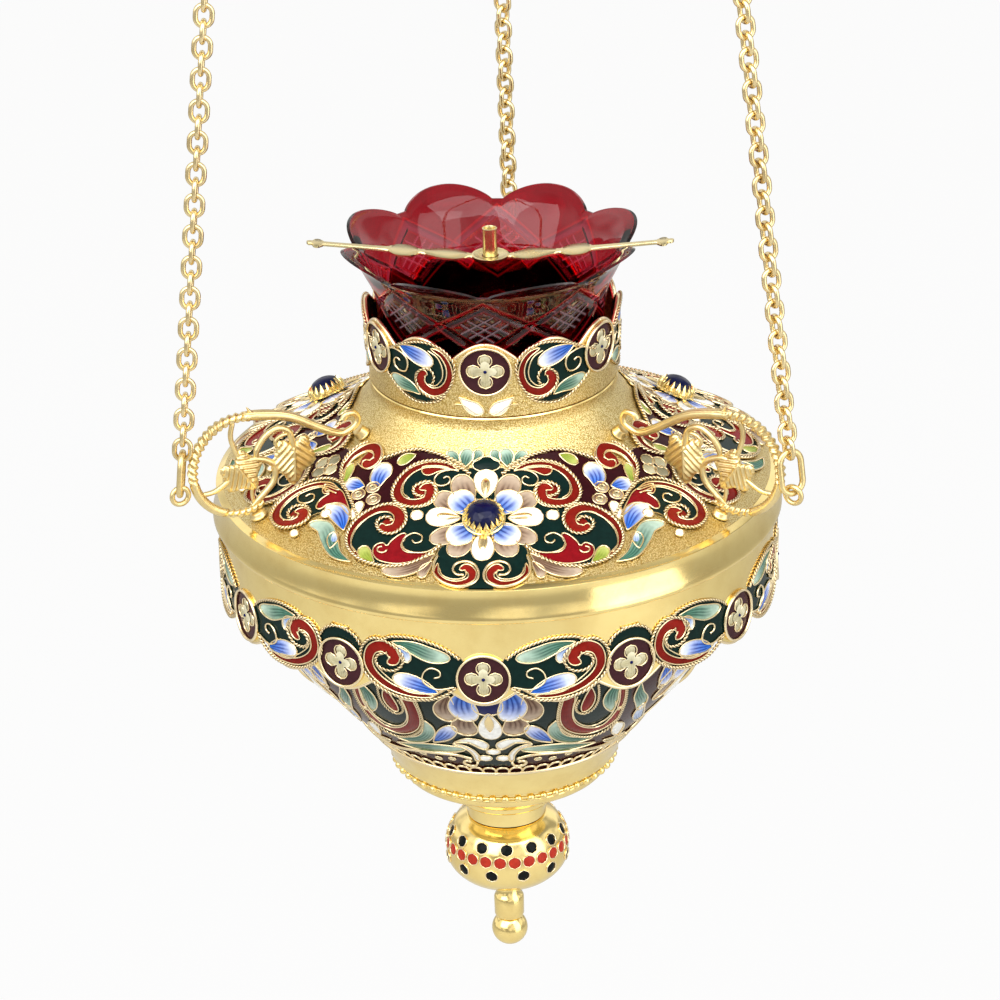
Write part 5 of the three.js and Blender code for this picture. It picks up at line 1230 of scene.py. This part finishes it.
link_width, link_length, link_half, link_pitch, link_count = 6.3, 7.8, 0.775, 4.72, 33
large_width, large_length, large_half = 9.0, 15.0, 0.95
seat = eye_centre + (0, eye_radius - eye_half - large_half - gap)
large_top = large_length - 2 * large_half
first_middle = large_top - large_half - link_half - gap + link_length / 2 - link_half
last_middle = first_middle + (link_count - 1) * link_pitch
ring_radius, ring_half = 3.6, 0.9
ring_middle = last_middle + link_length / 2 - 2 * link_half - ring_half - gap + ring_radius
chain_lean, link_turn = math.radians(6.28), math.radians(60)


def on_chain(shape, rise):
    (x, y, z), faces = (shape[0] + (0, 0, rise)).T, shape[1]
    x, y = swung(x, y, link_turn)
    x, z = swung(x, z, chain_lean)
    return np.stack([x + seat[0], y, z + seat[1]], -1), faces


link_points, link_faces = long_link(link_width, link_length, link_half)
crossed = link_points[:, [1, 0, 2]] * (-1, 1, 1)
links = [((link_points if number % 2 else crossed) + (0, 0, first_middle + number * link_pitch), link_faces)
         for number in range(link_count)]
eye_points, eye_faces = wire_ring(eye_radius, eye_half)

# Crown: a turned boss gathers the chains. Its three cast arms rise a little and then bend down to an eye
# each, and the chains' top rings hang in the eyes.
arm_eye_radius, arm_eye_half, boss_radius, boss_rise = 3.1, 1.1, 9, 9
reach = ring_middle + ring_radius - ring_half - arm_eye_half - gap + arm_eye_radius
arm_eye = seat + np.array([-math.sin(chain_lean), math.cos(chain_lean)]) * reach
boss_middle = arm_eye[1] + boss_rise
tip = arm_eye + (-arm_eye_radius * math.sqrt(0.5), arm_eye_radius * math.sqrt(0.5))
arm_start, arm_run = boss_radius + gap, tip[0] - boss_radius - gap
crown_line = smooth_line([(arm_start, boss_middle), (arm_start + arm_run * 0.35, boss_middle + 1.5),
                          (arm_start + arm_run * 0.75, boss_middle + (tip[1] - boss_middle) * 0.45),
                          tip], 1.0)
crown_half = np.linspace(2.6, 1.3, len(crown_line))
arm_eye_points, arm_eye_faces = wire_ring(arm_eye_radius, arm_eye_half)
crown_arm = together([rod(crown_line, crown_half, 16, flat=0.7),
                      rod(crown_line, crown_half * 0.5, 10, flat=1.9),
                      (arm_eye_points + (arm_eye[0], 0, arm_eye[1]), arm_eye_faces)])
for name, shape, finish in (
        ("handle", together(castings), satin_gilt),
        ("lower_foot", collet(2.6, 1.8, foot_distance), satin_gilt),
        ("upper_foot", collet(2.2, 2.6, rest_distance), satin_gilt),
        ("handle_eye", (eye_points + (eye_centre[0], 0, eye_centre[1]), eye_faces), satin_gilt),
        ("large_link", on_chain(long_link(large_width, large_length, large_half), large_top / 2), satin_gilt),
        ("chain", on_chain(together(links), 0), chain_gilt),
        ("top_ring", on_chain(wire_ring(ring_radius, ring_half), ring_middle), chain_gilt),
        ("crown_arm", crown_arm, polished_gilt)):
    for number, azimuth in ((1, 210), (2, 330), (3, 90)):
        add_piece(f"{name}_piece_{number}", shape, [finish], replaced=[f"{name}_{number}"], turn=azimuth)

# Boss, swivel and hanging ring: the boss is turned from bar with rounded corners, the bow's shank runs
# down through it to a nut, so that the crown can turn, and the bow hangs in a plain forged ring.
def rounded(profile, radius=0.3, steps=3):
    # Replaces each corner of a closed profile by a small round
    corners = [np.array(corner, float) for corner in profile]
    result = []
    for index, corner in enumerate(corners):
        before, after = corners[index - 1], corners[(index + 1) % len(corners)]
        back, ahead = before - corner, after - corner
        near = min(radius, np.linalg.norm(back) * 0.4, np.linalg.norm(ahead) * 0.4)
        start = corner + back / (np.linalg.norm(back) + 1e-9) * near
        end = corner + ahead / (np.linalg.norm(ahead) + 1e-9) * near
        for step in range(steps + 1):
            share = step / steps
            result.append((1 - share) ** 2 * start + 2 * share * (1 - share) * corner + share ** 2 * end)
    return result


boss_half = 5
boss_outline = [(rod_hole, -5), (6, -5), (boss_radius, -3), (boss_radius, 3), (6, 5), (rod_hole, 5)]
add_piece("crown_boss", turned(rounded(np.add(boss_outline, (0, boss_middle)), 1.0), 96))
bow_radius, bow_half = 7, 1.5
bow_middle = boss_middle + boss_half + gap + bow_half + bow_radius
bow_points, bow_faces = wire_ring(bow_radius, bow_half, 64, 16)
shank_foot, shank_top = boss_middle - 10.3, bow_middle - bow_radius
shank = turned([(0, shank_foot), (1.7, shank_foot), (2, shank_foot + 0.3), (2, shank_top),
                (0, shank_top)], 48)
bow_points = bow_points[:, [1, 0, 2]] * (-1, 1, 1) + (0, 0, bow_middle)
add_piece("swivel_bow", together([(bow_points, bow_faces), shank]), body="swivel")
refinish("swivel_nut", polished_gilt)
ring_points, ring_faces = wire_ring(14.8, 1.8, 96, 20)
add_piece("hanging_ring", (ring_points + (0, 0, hang_height - 13), ring_faces), body="hanging_ring")
